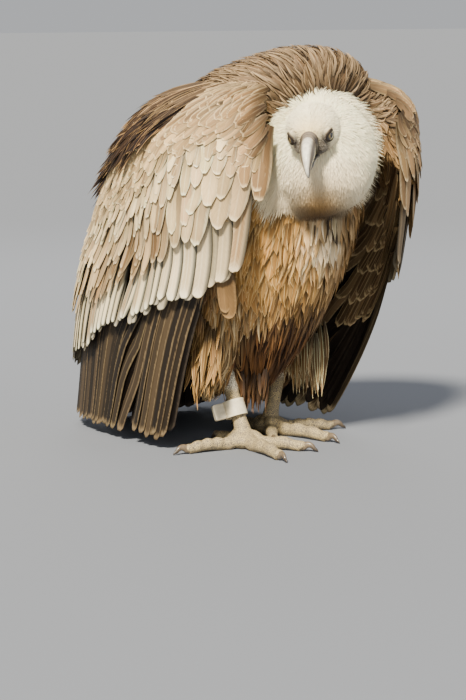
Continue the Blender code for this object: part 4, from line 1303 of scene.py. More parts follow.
roots = scatter(body_skin, 0.0020, on_neck)
n = len(roots)
edge = ramp((roots[:, 1] - NECK[1]) / NECK_RADII[1], -0.35, 0.25)
edge = np.clip(ramp(neck_ball(roots), 0.92, 1.04) * 0.4 + edge, 0, 1)
path, normal = walk(roots, (0.0125 + 0.0085 * edge) * RNG.uniform(0.8, 1.2, n), neck_lie, 2)
hue = neck_colours(roots) * RNG.uniform(0.93, 1.05, (n, 1))
tufts("coat_neck_down", path, normal, 0.00065, np.clip(hue, 0, 0.9), np.clip(hue * 1.05, 0, 0.93), 4, 0.0006,
      (0.0030, 0.0050), extra=0.003 * edge)


# %% [markdown]
# ### Ruff
# Round the ball's rim the down is longer and stands out over the brown mantle. It is thin in the
# middle of the front and longest at the sides. Its tips rise off the skin as the square of the way.

# %% Ruff
def on_ruff(p):
    """A belt at the ball's rim, open above the crown line and below the throat."""
    belt = (np.abs(neck_ball(p) - 0.99) < 0.09) & (p[:, 1] < NECK[1] + 0.085)
    return belt & (above_fold(p) > -0.006) & ~crown(p + (0, 0, 0.006))


roots = scatter(body_skin, 0.0017, on_ruff)
toward = (roots - NECK) @ SEEN_FROM / 0.09
roots = roots[RNG.random(len(roots)) < 1.15 - 1.3 * np.clip(toward, 0, 1)]
aside = (roots - NECK) @ SIGHT
roots = roots[(np.abs(aside + 0.010) > 0.055) | (roots[:, 2] > NECK[2] - 0.02)]
n, aside = len(roots), (roots - NECK) @ SIGHT
aside = ramp(aside, 0.020, 0.070) + 0.9 * ramp(-aside, 0.050, 0.085) * ramp(NECK[2] - roots[:, 2], 0.0, 0.04)
path, normal = walk(roots, (0.012 + 0.034 * aside) * RNG.uniform(0.6, 1.25, n), neck_lie, 4)
t = np.linspace(0, 1, path.shape[1])[None, :, None] ** 2
path = path + normal[:, :1] * t * ((0.003 + 0.017 * aside) * RNG.uniform(0.4, 1.3, n))[:, None, None]
hue = neck_colours(roots) * RNG.uniform(0.84, 1.06, (n, 1))
tufts("coat_ruff", path, normal, 0.00055, np.clip(hue, 0, 0.92), np.clip(hue * 1.1, 0, 0.94), 5, 0.001,
      (0.004, 0.008), (0.7, 1.4), 0.45)


# %% [markdown]
# ### Down of the head
# The head's down is as short as fur and lies backwards over the crown and down over the cheeks. The
# strip before the eye is nearly bare. Tufts in two colours, taken from the markings at their roots,
# make the crown cream and the cheeks a little buff.

# %% Head down
head_range = skin_faces[len(body_faces):len(body_faces) + len(head_faces)]


def on_head(p):
    """Head skin outside the lids and the cere; the strip before the eye carries few tufts."""
    q = to_head(p)
    side = mirrored(q)
    eye = np.linalg.norm((side - EYE) / (0.0116, 0.0080, 0.0062), axis=1) < 1
    strip = bell(side, (0.0190, -0.0400, -0.0060), (0.0075, 0.0090, 0.0120))
    bare = strip > RNG.uniform(0.35, 1.4, len(q))
    return ~eye & ~bare & (q[:, 1] > -0.0405) & (neck_ball(p) > 0.82)


def head_tufts(name, path, normal, q, light, *measures, **more):
    """Down in the head's colours, each tuft a little lighter or darker."""
    hue, rim = head_markings(q)
    shade = RNG.uniform(light, 1.05, (len(q), 1))
    return tufts(name, path, normal, measures[0], np.clip(hue * shade, 0, 0.92),
                 np.clip(rim * shade, 0, 0.94),
                 *measures[1:], **more)


roots = scatter(head_range, 0.0016, on_head)
q = to_head(roots)
back = ramp(q[:, 1], -0.034, 0.020)
path, normal = walk(roots, (0.0050 + 0.0120 * back) * RNG.uniform(0.75, 1.25, len(roots)), head_lie, 2)
head_tufts("coat_head_down", path, normal, q, 0.90, 0.00055, 3, 0.0002, (0.0014, 0.0026), extra=0.0048 * back)


# %% [markdown]
# ### Down of the lids
# Behind the bare roll of each lid the same white down begins, finest of all. It lies away from the
# middle of the eye, so that the roll stands free and keeps its dark line.

# %% Lid down
def on_lids(p):
    """The backs of the lids, outside their naked rolls."""
    q = to_head(p)
    return (unit(mirrored(q) - EYE) @ unit(np.array((1.0, -0.55, -0.02))) < 0.50) & (q[:, 1] > -0.0405)


def lid_lie(p, up):
    """Away from the middle of the nearer eye."""
    q = to_head(p)
    side, ones = np.sign(q[:, 0]), np.ones(len(q))
    axis = unit(np.stack([side, -0.55 * ones, -0.02 * ones], axis=1))
    ray = q - EYE * np.stack([side, ones, ones], axis=1)
    return tangent((ray - axis * (ray * axis).sum(-1, keepdims=True)) @ HEAD.T, up)


roots = scatter(skin_faces[len(body_faces) + len(head_faces):body_count], 0.0009, on_lids)
path, normal = walk(roots, 0.0028 * RNG.uniform(0.7, 1.2, len(roots)), lid_lie, 2)
head_tufts("coat_lid_down", path, normal, to_head(roots), 0.85, 0.00035, 3, 0.0001, (0.0004, 0.0010),
           swing=0.3)


# %% [markdown]
# ## Coverts
# The small feathers over the wing lie in rows that follow hems, and each row covers the roots of the
# next. A hem is a table of heights from the rear edge to the front. Along it the feathers are spaced
# by their own width. Old feathers among the fresh ones are browner, which gives the wing its scales.

# %% Hems and rows
COVERT_HEM = ((0.0, 0.43, 0.55, 0.65, 0.75, 0.87, 1.0), (0.100, 0.160, 0.215, 0.247, 0.265, 0.278, 0.312))
SHOULDER_HEM = ((0.0, 0.40, 0.47, 0.53, 0.61, 0.68, 0.745, 0.80, 0.885, 1.0),
                (0.190, 0.245, 0.262, 0.282, 0.322, 0.342, 0.353, 0.364, 0.374, 0.405))
# each row: how far above the hem, length, spacing at the rear and at the front
LONG_ROWS = [(0.000, 0.115, 0.0110, 0.0320), (0.052, 0.096, 0.0105, 0.0300), (0.092, 0.076, 0.0100, 0.0240),
             (0.124, 0.058, 0.0095, 0.0180)]
SHORT_ROWS = [(above, 0.042, 0.0090, 0.0135) for above in np.arange(0.0735, 0.520, 0.0145)]


def worn(hue, share, depth):
    """Some feathers of a tract are older and browner than the rest."""
    old = RNG.random((len(hue), 1)) < share
    return hue * np.where(old, (depth, depth * 0.96, depth * 0.92), 1.0)


def cover_rows(side, rows, jitter):
    """Fraction, start, end, half width and row number of each covert; only tips below the wing's top."""
    sets = []
    for n, (above, length, rear, front) in enumerate(rows):
        spacing = (rear, rear, 0.6 * front + 0.4 * rear, front)
        f = along_hem(side, above, *SHOULDER_HEM, spacing)
        f = f + RNG.normal(0, 0.0018, len(f))
        tip = climb(hem(f, *SHOULDER_HEM)) + above + RNG.normal(0, jitter * length, len(f))
        half = 0.72 * np.interp(f, STATIONS, spacing)
        keep = tip < CLIMB[-1] - 0.045
        size = length * RNG.uniform(0.9, 1.15, len(f))
        sets.append(np.stack([f, level_at(tip + size), level_at(tip), half, 0 * f + n], axis=1)[keep])
    return np.concatenate(sets).T


print("rows of coverts:", len(LONG_ROWS), "long,", len(SHORT_ROWS), "short")


# %% [markdown]
# ### Lesser coverts
# The uppermost rows are short and scaly, warm buff with pale rims, browner towards the wrist and
# the front edge. The lowest of these rows are laid only along that edge, where the long ones end.

# %% Lesser coverts
def lesser_coverts(side):
    """Short rows from the hem to the wing's top."""
    sets = cover_rows(side, SHORT_ROWS, 0.15)
    f, start, end, half, _ = sets[:, (sets[4] >= 5) | (sets[0] > 0.87)]
    n = len(f)
    high = ramp(end, 0.45, 0.575)
    lean = (3.0 + 9.0 * high + RNG.normal(0, 2.0, n))[:, None]
    path, normal = hang(side, f, start, end, (0.0024, 0.0), lean, 6)
    edge_on = ramp(f, 0.90, 1.0) if side == RIGHT else ramp(f, 0.60, 0.80)
    brown = np.clip(high + 0.7 * edge_on, 0, 1.1)
    # The left wing's brown is painted lighter than the right's: painted light on the wing that lies in shade.
    hue = layered(n, (196, 166, 120), ((brown, (136, 108, 74) if side == RIGHT else (152, 122, 86)),))
    rim = layered(n, (240, 218, 174), ((brown, (210, 182, 138)),))
    half = half * RNG.uniform(0.80, 1.18, n)
    hue = worn(freckle(hue, n, 0.22, 0.015), 0.35, 0.62)
    rim = freckle(rim, n, 0.15, 0.012)
    curl = 0.0002 + 0.0010 * RNG.random(n) * ramp(f, 0.4, 0.9)
    twist = 0.12 * side + RNG.normal(0, 0.12, n)
    return vanes(f"wing_{WORDS[side]}_lesser_coverts", path, normal, half, hue, rim, WING_VANE,
                 "scale", tip=0.0, arch=0.20, curl=curl, ragged=0.10, twist=twist, web=side)


# %% [markdown]
# ### Median coverts
# Four rows of longer, rounder feathers reach down to the large ones. They are laid from the top row
# down, each a hair deeper than the next. A brown patch lies over the middle of the lower rows. Below
# the right wing's front edge two of them have come loose and hang by themselves.

# %% Median coverts
def median_coverts(side):
    """Long rows at the shoulder's hem."""
    sets = cover_rows(side, LONG_ROWS[::-1], 0.12)
    f, start, end, half, row = sets[:, (sets[4] > 1) | (sets[0] < 0.90)]
    n = len(f)
    lean = RNG.normal(1.0, 1.6, n)[:, None]
    path, normal = hang(side, f, start, end, (0.0050, 0.0010), lean, 8, follow=0.25)
    path = path - normal * (0.0006 * (3 - row))[:, None, None]
    brown = np.exp(-((f - 0.52) / 0.20) ** 2) * ramp(row, 1.0, 3.0)
    edge_on = ramp(f, 0.84, 0.93) * ramp(end, 0.37, 0.42) if side == RIGHT else ramp(f, 0.55, 0.78)
    half = half * (1 - 0.30 * edge_on * (side == RIGHT))
    aged = np.clip(0.65 * brown + 0.55 * RNG.random(n) ** 2 + 1.1 * edge_on, 0, 1.0)
    # The left wing's brown is painted lighter than the right's: painted light on the wing that lies in shade.
    hue = layered(n, (230, 202, 154), ((aged, (150, 118, 80) if side == RIGHT else (172, 138, 96)),))
    rim = layered(n, (250, 232, 192), ((0.8 * brown + 0.7 * edge_on, (210, 180, 134)),))
    half = half * RNG.uniform(0.85, 1.10, n)
    hue = worn(freckle(hue, n, 0.18, 0.015), 0.30, 0.62)
    rim = freckle(rim, n, 0.12, 0.010)
    curl = 0.0003 + 0.0010 * RNG.random(n)
    twist = 0.13 * side + RNG.normal(0, 0.06, n)
    return vanes(f"wing_{WORDS[side]}_median_coverts", path, normal, half, hue, rim, WING_VANE,
                 "round", rows=9, columns=7, arch=0.17, curl=curl, ragged=0.03, twist=twist, web=side)


def loose_covert():
    """Two brown feathers that hang free below the right wing's front edge."""
    turn = np.array((141.0, 143.5))
    start, end = np.array((0.335, 0.325)), np.array((0.246, 0.236))
    path, normal = hang(RIGHT, turn, start, end, (0.014, 0.004), turns=(turn - 2.0, turn + 4.5))
    spots, size = sheets(2)
    hue, rim = np.tile(tint(112, 86, 54), (2, 1)), np.tile(tint(150, 120, 80), (2, 1))
    return vanes("wing_right_loose_covert", path, normal, np.array((0.0110, 0.0150)), hue, rim, WING_VANE,
                 "quill", rows=14, columns=9, arch=0.30, curl=0.002, ragged=0.01,
                 twist=np.array((0.1, -0.1)), bake=spots, patch=size)


# %% [markdown]
# ### Greater coverts
# The largest coverts are cream with painted shade on the inner web, and their tips make the pale hem
# over the flight feathers. There are two layers, the rear one painted dark as shade, so that the gaps
# between two pale feathers look deep. On the left wing the body's shade on the front ones is painted on
# as a dark brown.

# %% Greater coverts
GREAT_SPACING = (0.0150, 0.0165, 0.0250, 0.0320)


def greater_coverts(side):
    """Two layers of large coverts, the rear one half a feather behind the front one."""
    front = along_hem(side, 0.0, *COVERT_HEM, GREAT_SPACING)
    rear = along_hem(side, 0.0, *COVERT_HEM, GREAT_SPACING)[:-1] + 0.012
    f = np.concatenate([rear, front])
    tier = np.repeat((0.0, 1.0), (len(rear), len(front)))
    n = len(f)
    half = np.where(tier == 1, 0.55, 0.66) * np.interp(f, STATIONS, GREAT_SPACING)
    uneven = RNG.normal(0, 1, n) * (0.0035 + 0.0060 * ramp(f, 0.80, 0.92))
    bottom = hem(f, *COVERT_HEM) + np.where(tier == 1, uneven, -0.004 + RNG.normal(0, 0.006, n))
    lean = (-3.0 * ramp(f, 0.7, 1.0) + RNG.normal(0, 0.8, n))[:, None]
    top, depth = hem(f, *SHOULDER_HEM) + 0.045, (LAYER + 0.002, LAYER * 0.80)
    path, normal = hang(side, f, top, bottom, depth, lean, 9, follow=0.2)
    path = path + normal * (0.0028 * tier - 0.0010)[:, None, None]
    aged = np.clip(RNG.random(n) ** 2.4 + 0.40 * ramp(f, 0.84, 1.0), 0, 0.9)
    # The rear tier is painted dark as shade, so that the gaps between the pale front feathers look deep.
    hue = layered(n, (236, 216, 172), ((aged, (140, 106, 68)),)) * np.where(tier == 1, 1.0, 0.36)[:, None]
    rim = np.tile(tint(254, 243, 210), (n, 1)) * np.where(tier == 1, 1.0, 0.48)[:, None]
    rim = blend_to(rim, tint(222, 200, 160), 0.8 * ramp(f, 0.84, 0.92))
    # On the left wing the body's shade on the front feathers is painted on as dark brown.
    if side == LEFT:
        shaded = 0.85 * ramp(f, 0.70, 0.86)
        hue = blend_to(hue, tint(70, 56, 42), shaded)
        rim = blend_to(rim, tint(176, 150, 112), shaded * (RNG.random(n) < 0.7))
    spots, size = sheets(n)
    half = half * RNG.uniform(0.93, 1.07, n)
    hue, rim = freckle(hue, n, 0.10, 0.010), freckle(rim, n, 0.05, 0.006)
    twist = 0.16 * side + RNG.normal(0, 0.05, n)
    return vanes(f"wing_{WORDS[side]}_greater_coverts", path, normal, half, hue, rim, COVERT_VANE,
                 "quill", rows=12, columns=9, arch=0.22, curl=0.0008, ragged=0.015,
                 twist=twist, web=side, bake=spots, patch=size)


for side in (RIGHT, LEFT):
    word = WORDS[side]
    lesser_coverts(side)
    median_coverts(side)
    if side == RIGHT:
        loose_covert()
    great = greater_coverts(side)
    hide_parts(f"wing_{word}_coverts")


# %% [markdown]
# ### Flight feathers, scapulars and tail
# Flight feathers are long, stiff and almost black, each with a strong shaft and a thin paler edge,
# and their tips leave notches in the hem. Over the back lie the tertials and the ragged, pale-edged
# scapulars. The tail is pressed to the floor between the wing points.

# %% Long feathers
def long_feathers(name, path, normal, half, hue, rim, columns=7, ragged=0.010,
                  twist=0.0):
    """A row of large feathers, each with its own sheet on the bake map."""
    n = len(path)
    spots, size = sheets(n)
    half = half * RNG.uniform(0.94, 1.06, n)
    hue, rim = freckle(hue, n, 0.14, 0.012), freckle(rim, n, 0.10, 0.012)
    return vanes(name, path, normal, half, hue, rim, FLIGHT_VANE, "quill", rows=14, columns=columns,
                 arch=0.24, ragged=ragged, twist=twist + RNG.normal(0, 0.03, n), bake=spots, patch=size)


def lay_flight(side):
    """The secondaries: on the left wing they are painted lighter, partly for their paler undersides turned to
    the front and partly as painted light on feathers that sit in shade.
    """
    f = along_hem(side, 0.05, *COVERT_HEM, (0.0165, 0.0165, 0.0165, 0.0150), QUILL_EDGE)
    n = len(f)
    ends = 0.016 + RNG.uniform(0, 0.009, n)
    depth = (2 * LAYER + TUCK - 0.002, 2 * LAYER - 0.002)
    path, normal = hang(side, f, hem(f, *COVERT_HEM) + 0.060, ends, depth, 0.0, 10, edge=QUILL_EDGE)
    dark, pale, rim = (33, 27, 20), (72, 60, 44), (128, 109, 80)
    # The left wing's lighter colours: partly paler undersides, partly painted light on feathers in shade.
    if side == LEFT:
        dark, pale, rim = (98, 82, 62), (140, 122, 96), (214, 192, 150)
    hue = layered(n, dark, ((RNG.random(n) ** 2, pale),))
    name = f"wing_{WORDS[side]}_flight"
    return long_feathers(name, path, normal, 0.0138, hue, tint(*rim), twist=0.17 * side)


def lay_inner(side):
    """A second, darker layer behind the first, which closes the gaps between its feathers."""
    f = along_hem(side, 0.05, *COVERT_HEM, (0.0200, 0.0200, 0.0200, 0.0190), QUILL_EDGE)
    ends, depth = 0.026 + RNG.uniform(0, 0.014, len(f)), (3 * LAYER, 2.9 * LAYER)
    path, normal = hang(side, f, hem(f, *COVERT_HEM) + 0.060, ends, depth, 0.0, 10, edge=QUILL_EDGE)
    name = f"wing_{WORDS[side]}_flight_inner"
    return long_feathers(name, path, normal, 0.0135, tint(44, 36, 30), tint(72, 62, 52), twist=-0.10 * side)


def lay_lining(side):
    """Buff feathers on the wing's inner face, in six rows, seen where the wing stands off the body."""
    f, start = np.meshgrid(np.linspace(0.50, 0.99, 16), (0.545, 0.500, 0.455, 0.410, 0.365, 0.320))
    f, start = (f + RNG.normal(0, 0.006, f.shape)).ravel(), start.ravel()
    n = len(f)
    end = np.maximum(start - 0.105 - 0.10 * (1 - f) + RNG.normal(0, 0.006, n), 0.10)
    edge = QUILL_EDGE if side == RIGHT else FRONT_EDGE
    path, normal = hang(side, f, start, end, (2.2 * LAYER, 3.6 * LAYER), 0.0, 9, edge=edge)
    hue = layered(n, (84, 66, 46), ((RNG.random(n) ** 2, (150, 124, 90)),))
    return long_feathers(f"wing_{WORDS[side]}_lining", path, -normal, 0.0115, hue, tint(206, 180, 136),
                         columns=5, ragged=0.04)


def lay_points(side):
    """The wing's point: nine primaries that show beside the tail."""
    f = np.linspace(0, 1, 9)
    depth = (3 * LAYER + 2 * TUCK, 3 * LAYER + 2 * TUCK)
    turns = (40 + 34 * f, 35 + 18 * f)
    path, normal = hang(side, f, np.full(9, 0.24), 0.004 + 0.030 * f, depth, turns=turns)
    name = f"wing_{WORDS[side]}_points"
    return long_feathers(name, path, normal, 0.0130, tint(40, 34, 30), tint(70, 62, 55), twist=0.12 * side)


def lay_tertials(side):
    """Four tiers of five broad feathers over the back, the upper ones outermost."""
    tiers = ((0.470, 0.330), (0.430, 0.250), (0.370, 0.180), (0.310, 0.106))
    turn = np.tile(np.linspace(2, 29, 5), 4)
    start, end = np.repeat(tiers, 5, axis=0).T
    n = len(turn)
    end = end + RNG.normal(0, 0.010, n)
    path, normal = hang(side, turn, start, end, (0.006, 0.0035), turns=(turn, turn + RNG.normal(0, 0.6, n)))
    path = path + normal * (0.0012 * np.repeat((3, 2, 1, 0), 5))[:, None, None]
    return long_feathers(f"wing_{WORDS[side]}_tertial_feathers", path, normal, 0.0205, tint(84, 70, 57),
                         tint(118, 100, 80), columns=9, twist=0.08 * side)


def lay_scapulars(side):
    """Thirteen rows of loose lances from the hump to the back's lower edge, brown at the hump."""
    turn, start, end = [], [], []
    for k, share in enumerate(np.linspace(0.06, 1.0, 13)):
        c = np.linspace(0, 1, 16 - k % 2) + 0.02 * (k % 2)
        bottom = 0.588 + (0.285 + 0.175 * c - 0.588) * share
        turn.append(0.5 + (64 + 26 * ramp(bottom, 0.38, 0.50)) * c)
        end.append(bottom)
        start.append(np.minimum(bottom + 0.070 + 0.02 * share, 0.610))
    turn, start, end = (np.concatenate(x) for x in (turn, start, end))
    n = len(turn)
    tips = end + RNG.normal(0, 0.008, n)
    turns = (turn + 5.0, turn - 1.0 + RNG.normal(0, 2.0, n))
    path, normal = hang(side, turn, start, tips, (-TUCK, -LAYER), turns=turns)
    hump = 0.85 * ramp(end, 0.515, 0.60)
    hue = layered(n, (38, 27, 18), ((hump, (98, 78, 56)),))
    rim = layered(n, (150, 120, 80), ((hump, (166, 141, 108)),))
    half = 0.0085 * RNG.uniform(0.6, 1.25, n)
    hue, rim = freckle(hue, n, 0.25, 0.015), freckle(rim, n, 0.3, 0.015)
    curl = 0.002 + 0.006 * RNG.random(n)
    return vanes(f"wing_{WORDS[side]}_scapular_feathers", path, normal, half, hue, rim, MANTLE_VANE,
                 "lance", rows=9, columns=7, arch=0.3, curl=curl, ragged=0.22,
                 twist=RNG.normal(0, 0.28, n))


for side in (RIGHT, LEFT):
    word = WORDS[side]
    outer = lay_flight(side)
    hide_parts(f"wing_{word}_secondaries")
    inner = lay_inner(side)
    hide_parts(f"wing_{word}_secondaries")
    lining = lay_lining(side)
    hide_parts(f"wing_{word}_secondaries")
    points = lay_points(side)
    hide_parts(f"wing_{word}_primaries")
    third = lay_tertials(side)
    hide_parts(f"wing_{word}_tertials")
    back = lay_scapulars(side)
    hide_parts(f"wing_{word}_scapulars")


# %% [markdown]
# ### Tail
# The tail is short and pressed to the floor: twelve large feathers in a fan and seven more above
# them. Each follows the same falling curve, wider and further back towards its tip.

# %% Tail
u = np.concatenate([np.linspace(-1, 1, 12), np.linspace(-0.8, 0.8, 7)])[:, None]
tier = np.repeat((0, 1), (12, 7))[:, None]
curve = ((0.165, 0.275, 0.034), (0.235, 0.170, 0.052), (0.283, 0.085, 0.070), (0.320, 0.002, 0.084))
back, height, spread = refine(curve, 9).T[:, None]
back = back + 0.016 * (1 - u**2) + 0.004 * tier
height = height + 0.10 * tier * np.linspace(0, 1, 9) ** 2
path = np.stack(np.broadcast_arrays(spread * u, back, height), axis=-1) + PLACE
way = unit(np.gradient(path, axis=1))
normal = unit(np.cross(np.broadcast_to((1.0, 0, 0), way.shape), way))
normal *= np.sign(normal[..., 1:2])
tail = long_feathers("tail_feathers", path, normal, 0.0140, tint(44, 37, 32), tint(84, 72, 62))
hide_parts("tail")


# %% [markdown]
# ## Bill, cere and eyes
# The bill is a stack of rings that turn downward into the hook, narrower to a ridge on top. Its base
# is wrapped in the cere, a dark, waxy skin with an upright slit of a nostril on each side. The eye
# is a ball with pupil, brown iris and dark limbus painted by the angle from its axis, under a clear
# wet coat that the shader's own coat layer gives.

# %% Horn and wax
def horn_material(name, stain, lines, wear, **finish):
    """Horn, wax or plastic: colours come from the points, growth lines from the ring map."""
    given = {"Map": "map:Vane", "Base": "hue", "Stain": (*stain, 1.0), "Lines": lines, "Wear": wear}
    return new_material(name, HORN, given, **finish)


HORN_BILL = horn_material("bill_horn_layers", (0.07, 0.07, 0.08), 4.0, 0.45, bump=0.2, depth=0.0003,
                          Coat_Weight=0.5)
CERE_WAX = horn_material("cere_wax", (0.010, 0.011, 0.014), 9.0, 0.4, bump=0.3, depth=0.0004, Coat_Weight=0.3)
CLAW_HORN = horn_material("claw_horn", (0.02, 0.018, 0.016), 18.0, 0.5, bump=0.3, depth=0.0003,
                          Coat_Weight=0.2)


def horn_piece(name, q, faces, hue, material, shape):
    """A horn surface with its ring map (x round it, y along it)."""
    piece = add_piece(name, q, outward(q, faces), material)
    rows, sides = shape
    r, s = np.meshgrid(np.linspace(0, 1, rows), np.linspace(0, 1, sides), indexing="ij")
    flat = np.stack([np.abs(2 * s - 1), r], axis=-1).reshape(-1, 2)
    corner_map(piece.data, "Vane", np.tile(flat, (len(q) // len(flat), 1)))
    point_colours(piece.data, "hue", hue)
    print(f"{name}: {len(faces) * 2} triangles")
    return piece


def hooked(table, rows, sides, ridge, keel):
    """Rings square to a path that bends down: half * sin(a) across, tall * cos(a) up, ridge on top."""
    ahead, height, half, tall = refine(table, rows).T
    a = np.linspace(0, 2 * math.pi, sides, endpoint=False)[None, :]
    middle = np.stack([np.zeros(rows), -ahead, height], axis=1)
    way = unit(np.gradient(middle, axis=0))
    way[0] = (0, -1, 0)
    up = np.cross((1.0, 0, 0), way)
    up *= np.sign(up[:, 2:] - up[:, 1:2])
    c, s = np.cos(a), np.sin(a)
    lift = np.where(c > 0, np.abs(c) ** ridge, -np.abs(c) ** keel) * tall[:, None]
    wide = np.sign(s) * np.abs(s) ** 1.08 * half[:, None]
    q = middle[:, None] + np.array((1.0, 0, 0)) * wide[..., None] + up[:, None] * lift[..., None]
    top = np.concatenate([c] * (rows + 2)).reshape(-1)
    return closed(q).reshape(-1, 3), grid_faces(rows + 2, sides, wrap=True), top


q, faces, top = hooked(BILL_RINGS, 72, 56, 0.95, 0.75)
along = np.repeat(np.linspace(0, 1, 74), 56)
# The top of the bill is painted lighter as a painted highlight and its flanks and underside darker as painted
# shade; the dark tip and the paler base are the horn's own.
hue = layered(len(q), (84, 74, 61), (
    (ramp(top, 0.60, 0.99), (230, 224, 208)), (ramp(-top, -0.02, 0.45), (62, 54, 45)),
    (0.95 * ramp(along, 0.80, 0.96), (86, 82, 66)), (0.6 * (1 - ramp(along, 0.03, 0.12)), (150, 136, 112))))
bill = horn_piece("bill_upper_horn", from_head(q), faces, hue, HORN_BILL, (74, 56))
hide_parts("bill_upper")
q, faces, top = hooked(LOWER_RINGS, 40, 40, 1.0, 0.8)
hue = layered(len(q), (96, 96, 98), ((ramp(top, 0.0, 1.0), (60, 58, 58)),))
lower = horn_piece("bill_lower_horn", from_head(q), faces, hue, HORN_BILL, (42, 40))
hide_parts("bill_lower")
q, faces, top = hooked(CERE_RINGS, 40, 64, 0.88, 0.8)
slit = np.clip(1.6 * bell(mirrored(q), (0.0110, -0.0510, 0.0055), (0.0036, 0.0019, 0.0058)), 0, 1)
q = q - unit(q * (1, 0, 1) + (0, 0, 0.001)) * (0.0016 * slit)[:, None]
q = q + unit(q * (1, 0, 1)) * (0.0006 * np.sin(q[:, 1] * 900) * ramp(top, -0.2, 0.6))[:, None]
# The top of the cere is painted lighter as a painted highlight, and the nostril slit near black as painted
# shade in its opening.
hue = layered(len(q), (62, 54, 46), ((0.8 * ramp(top, 0.35, 0.95), (128, 116, 102)), (slit, (10, 10, 12))))
cere = horn_piece("cere_skin", from_head(q), faces, hue, CERE_WAX, (42, 64))
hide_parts("cere")


# %% [markdown]
# ### Eyes
# Each eye is a ball that bulges a little at the cornea. Pupil, brown iris and dark limbus are
# rings round its axis, and fine fibres from a noise run through the iris. A clear coat makes it wet.

# %% Eyes
EYE_WET = bpy.data.materials.new("eye_wet")
EYE_WET.use_nodes = True
tree = EYE_WET.node_tree
shader = tree.nodes["Principled BSDF"]
paint = tree.nodes.new("ShaderNodeAttribute")
paint.attribute_name = "hue"
turn = tree.nodes.new("ShaderNodeUVMap")
turn.uv_map = "Vane"
fibres = noise(tree, turn.outputs[0], 46.0, 3.0, 0.6)
light = math_node(tree, "MULTIPLY_ADD", fibres, 0.9, 0.55)
iris = colour_mix(tree, 1.0, paint.outputs["Color"], combine(tree, light, light, light), "MULTIPLY")
tree.links.new(iris, shader.inputs["Base Color"])
for label, value in (("Roughness", 0.18), ("Coat Weight", 1.0), ("Coat Roughness", 0.02)):
    shader.inputs[label].default_value = value
for side in (RIGHT, LEFT):
    polar = np.linspace(0.002, math.pi - 0.002, 56)[:, None]
    around = np.linspace(0, 2 * math.pi, 64, endpoint=False)[None, :]
    bulge = EYE_RADIUS * (1 + 0.045 * np.exp(-(polar / 0.5) ** 2))
    q = (EYE * (side, 1, 1) + bulge[..., None] * eye_rays(side, polar, around)).reshape(-1, 3)
    angle = np.degrees(np.repeat(polar[:, 0], 64))
    brown = ramp(angle, 20, 23) * (1 - 0.6 * ramp(angle, 23, 36))
    hue = layered(len(angle), (12, 10, 9), ((brown, (112, 96, 62)), (ramp(angle, 34, 41), (24, 18, 14))))
    faces = outward(q, grid_faces(56, 64, wrap=True))
    ball = add_piece(f"eye_{WORDS[side]}_ball", from_head(q), faces, EYE_WET)
    point_colours(ball.data, "hue", hue)
    fold = np.tile(np.abs(np.linspace(-1, 1, 64)), 56)
    corner_map(ball.data, "Vane", np.stack([fold, angle / 360], axis=1))
    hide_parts(f"eye_{WORDS[side]}")
print("head pieces done")


# %% [markdown]
# ## Claws and leg ring
# Each claw is a tapering tube bent down over three quarters of a right angle, its tip just clear of
# the floor. On the right shank hangs a plain cream plastic ring, closed by a folded tab. Ring and tab
# are rounded boxes carried round a circle or standing alone, with scratches and yellowing in the plastic.

# %% Claws
claw_parts, claw_hues = [], []
for side in (RIGHT, LEFT):
    for label, turn_out, length, _, _ in TOES:
        way, foot = toe_way(side, label, turn_out), FEET[side] * (1, 1, 0) + PLACE
        s = np.linspace(-0.10, 1, 40)
        bend = np.radians(75) * np.maximum(s, 0)
        ahead = CLAW_LENGTH * 0.80 * np.sin(bend) + np.minimum(s, 0) * 0.03
        rise = 0.0085 + 0.004 * np.sin(math.pi * np.clip(s * 1.6, 0, 1)) - 0.0075 * np.maximum(s, 0) ** 2
        points = foot + way * (TOE_START + length + 0.0003 + ahead)[:, None]
        points = points + np.array((0, 0, 1.0)) * rise[:, None]
        thick = 0.0062 * np.clip(1 - s, 0, 1) ** 0.8 + 0.0004
        claw_parts.append(sweep(points, thick * 0.78, thick, 18, floor=0.0))
        step = np.repeat(np.concatenate([[0], np.clip(s, 0, 1), [1]]), 18)
        claw_hues.append(layered(len(step), (124, 108, 86), ((ramp(step, 0.1, 0.8), (60, 50, 40)),)))
verts, faces = stack([(v, outward(v, f)) for v, f in claw_parts])
claws = horn_piece("claws", verts, faces, np.concatenate(claw_hues), CLAW_HORN, (42, 18))
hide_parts(*[f"claw_{WORDS[side]}_{toe[0]}" for side in (RIGHT, LEFT) for toe in TOES])


# %% [markdown]
# ### Leg ring and tab
# The ring is a rounded box in section, swept round the shank at the place the frame gives. The tab
# is a box with soft corners that stands off it, with a groove along the fold. Both carry scratches
# and a yellowed tone from the same horn pattern, since old plastic wears in much the same way.

# %% Leg ring and tab
RING_PLASTIC = horn_material("ring_plastic", (0.36, 0.29, 0.17), 6.0, 0.5, bump=0.15, depth=0.0002)


def soften(x, power):
    """Signed power, which turns a circle's sine into a rounded square's."""
    return np.sign(x) * np.abs(x) ** power


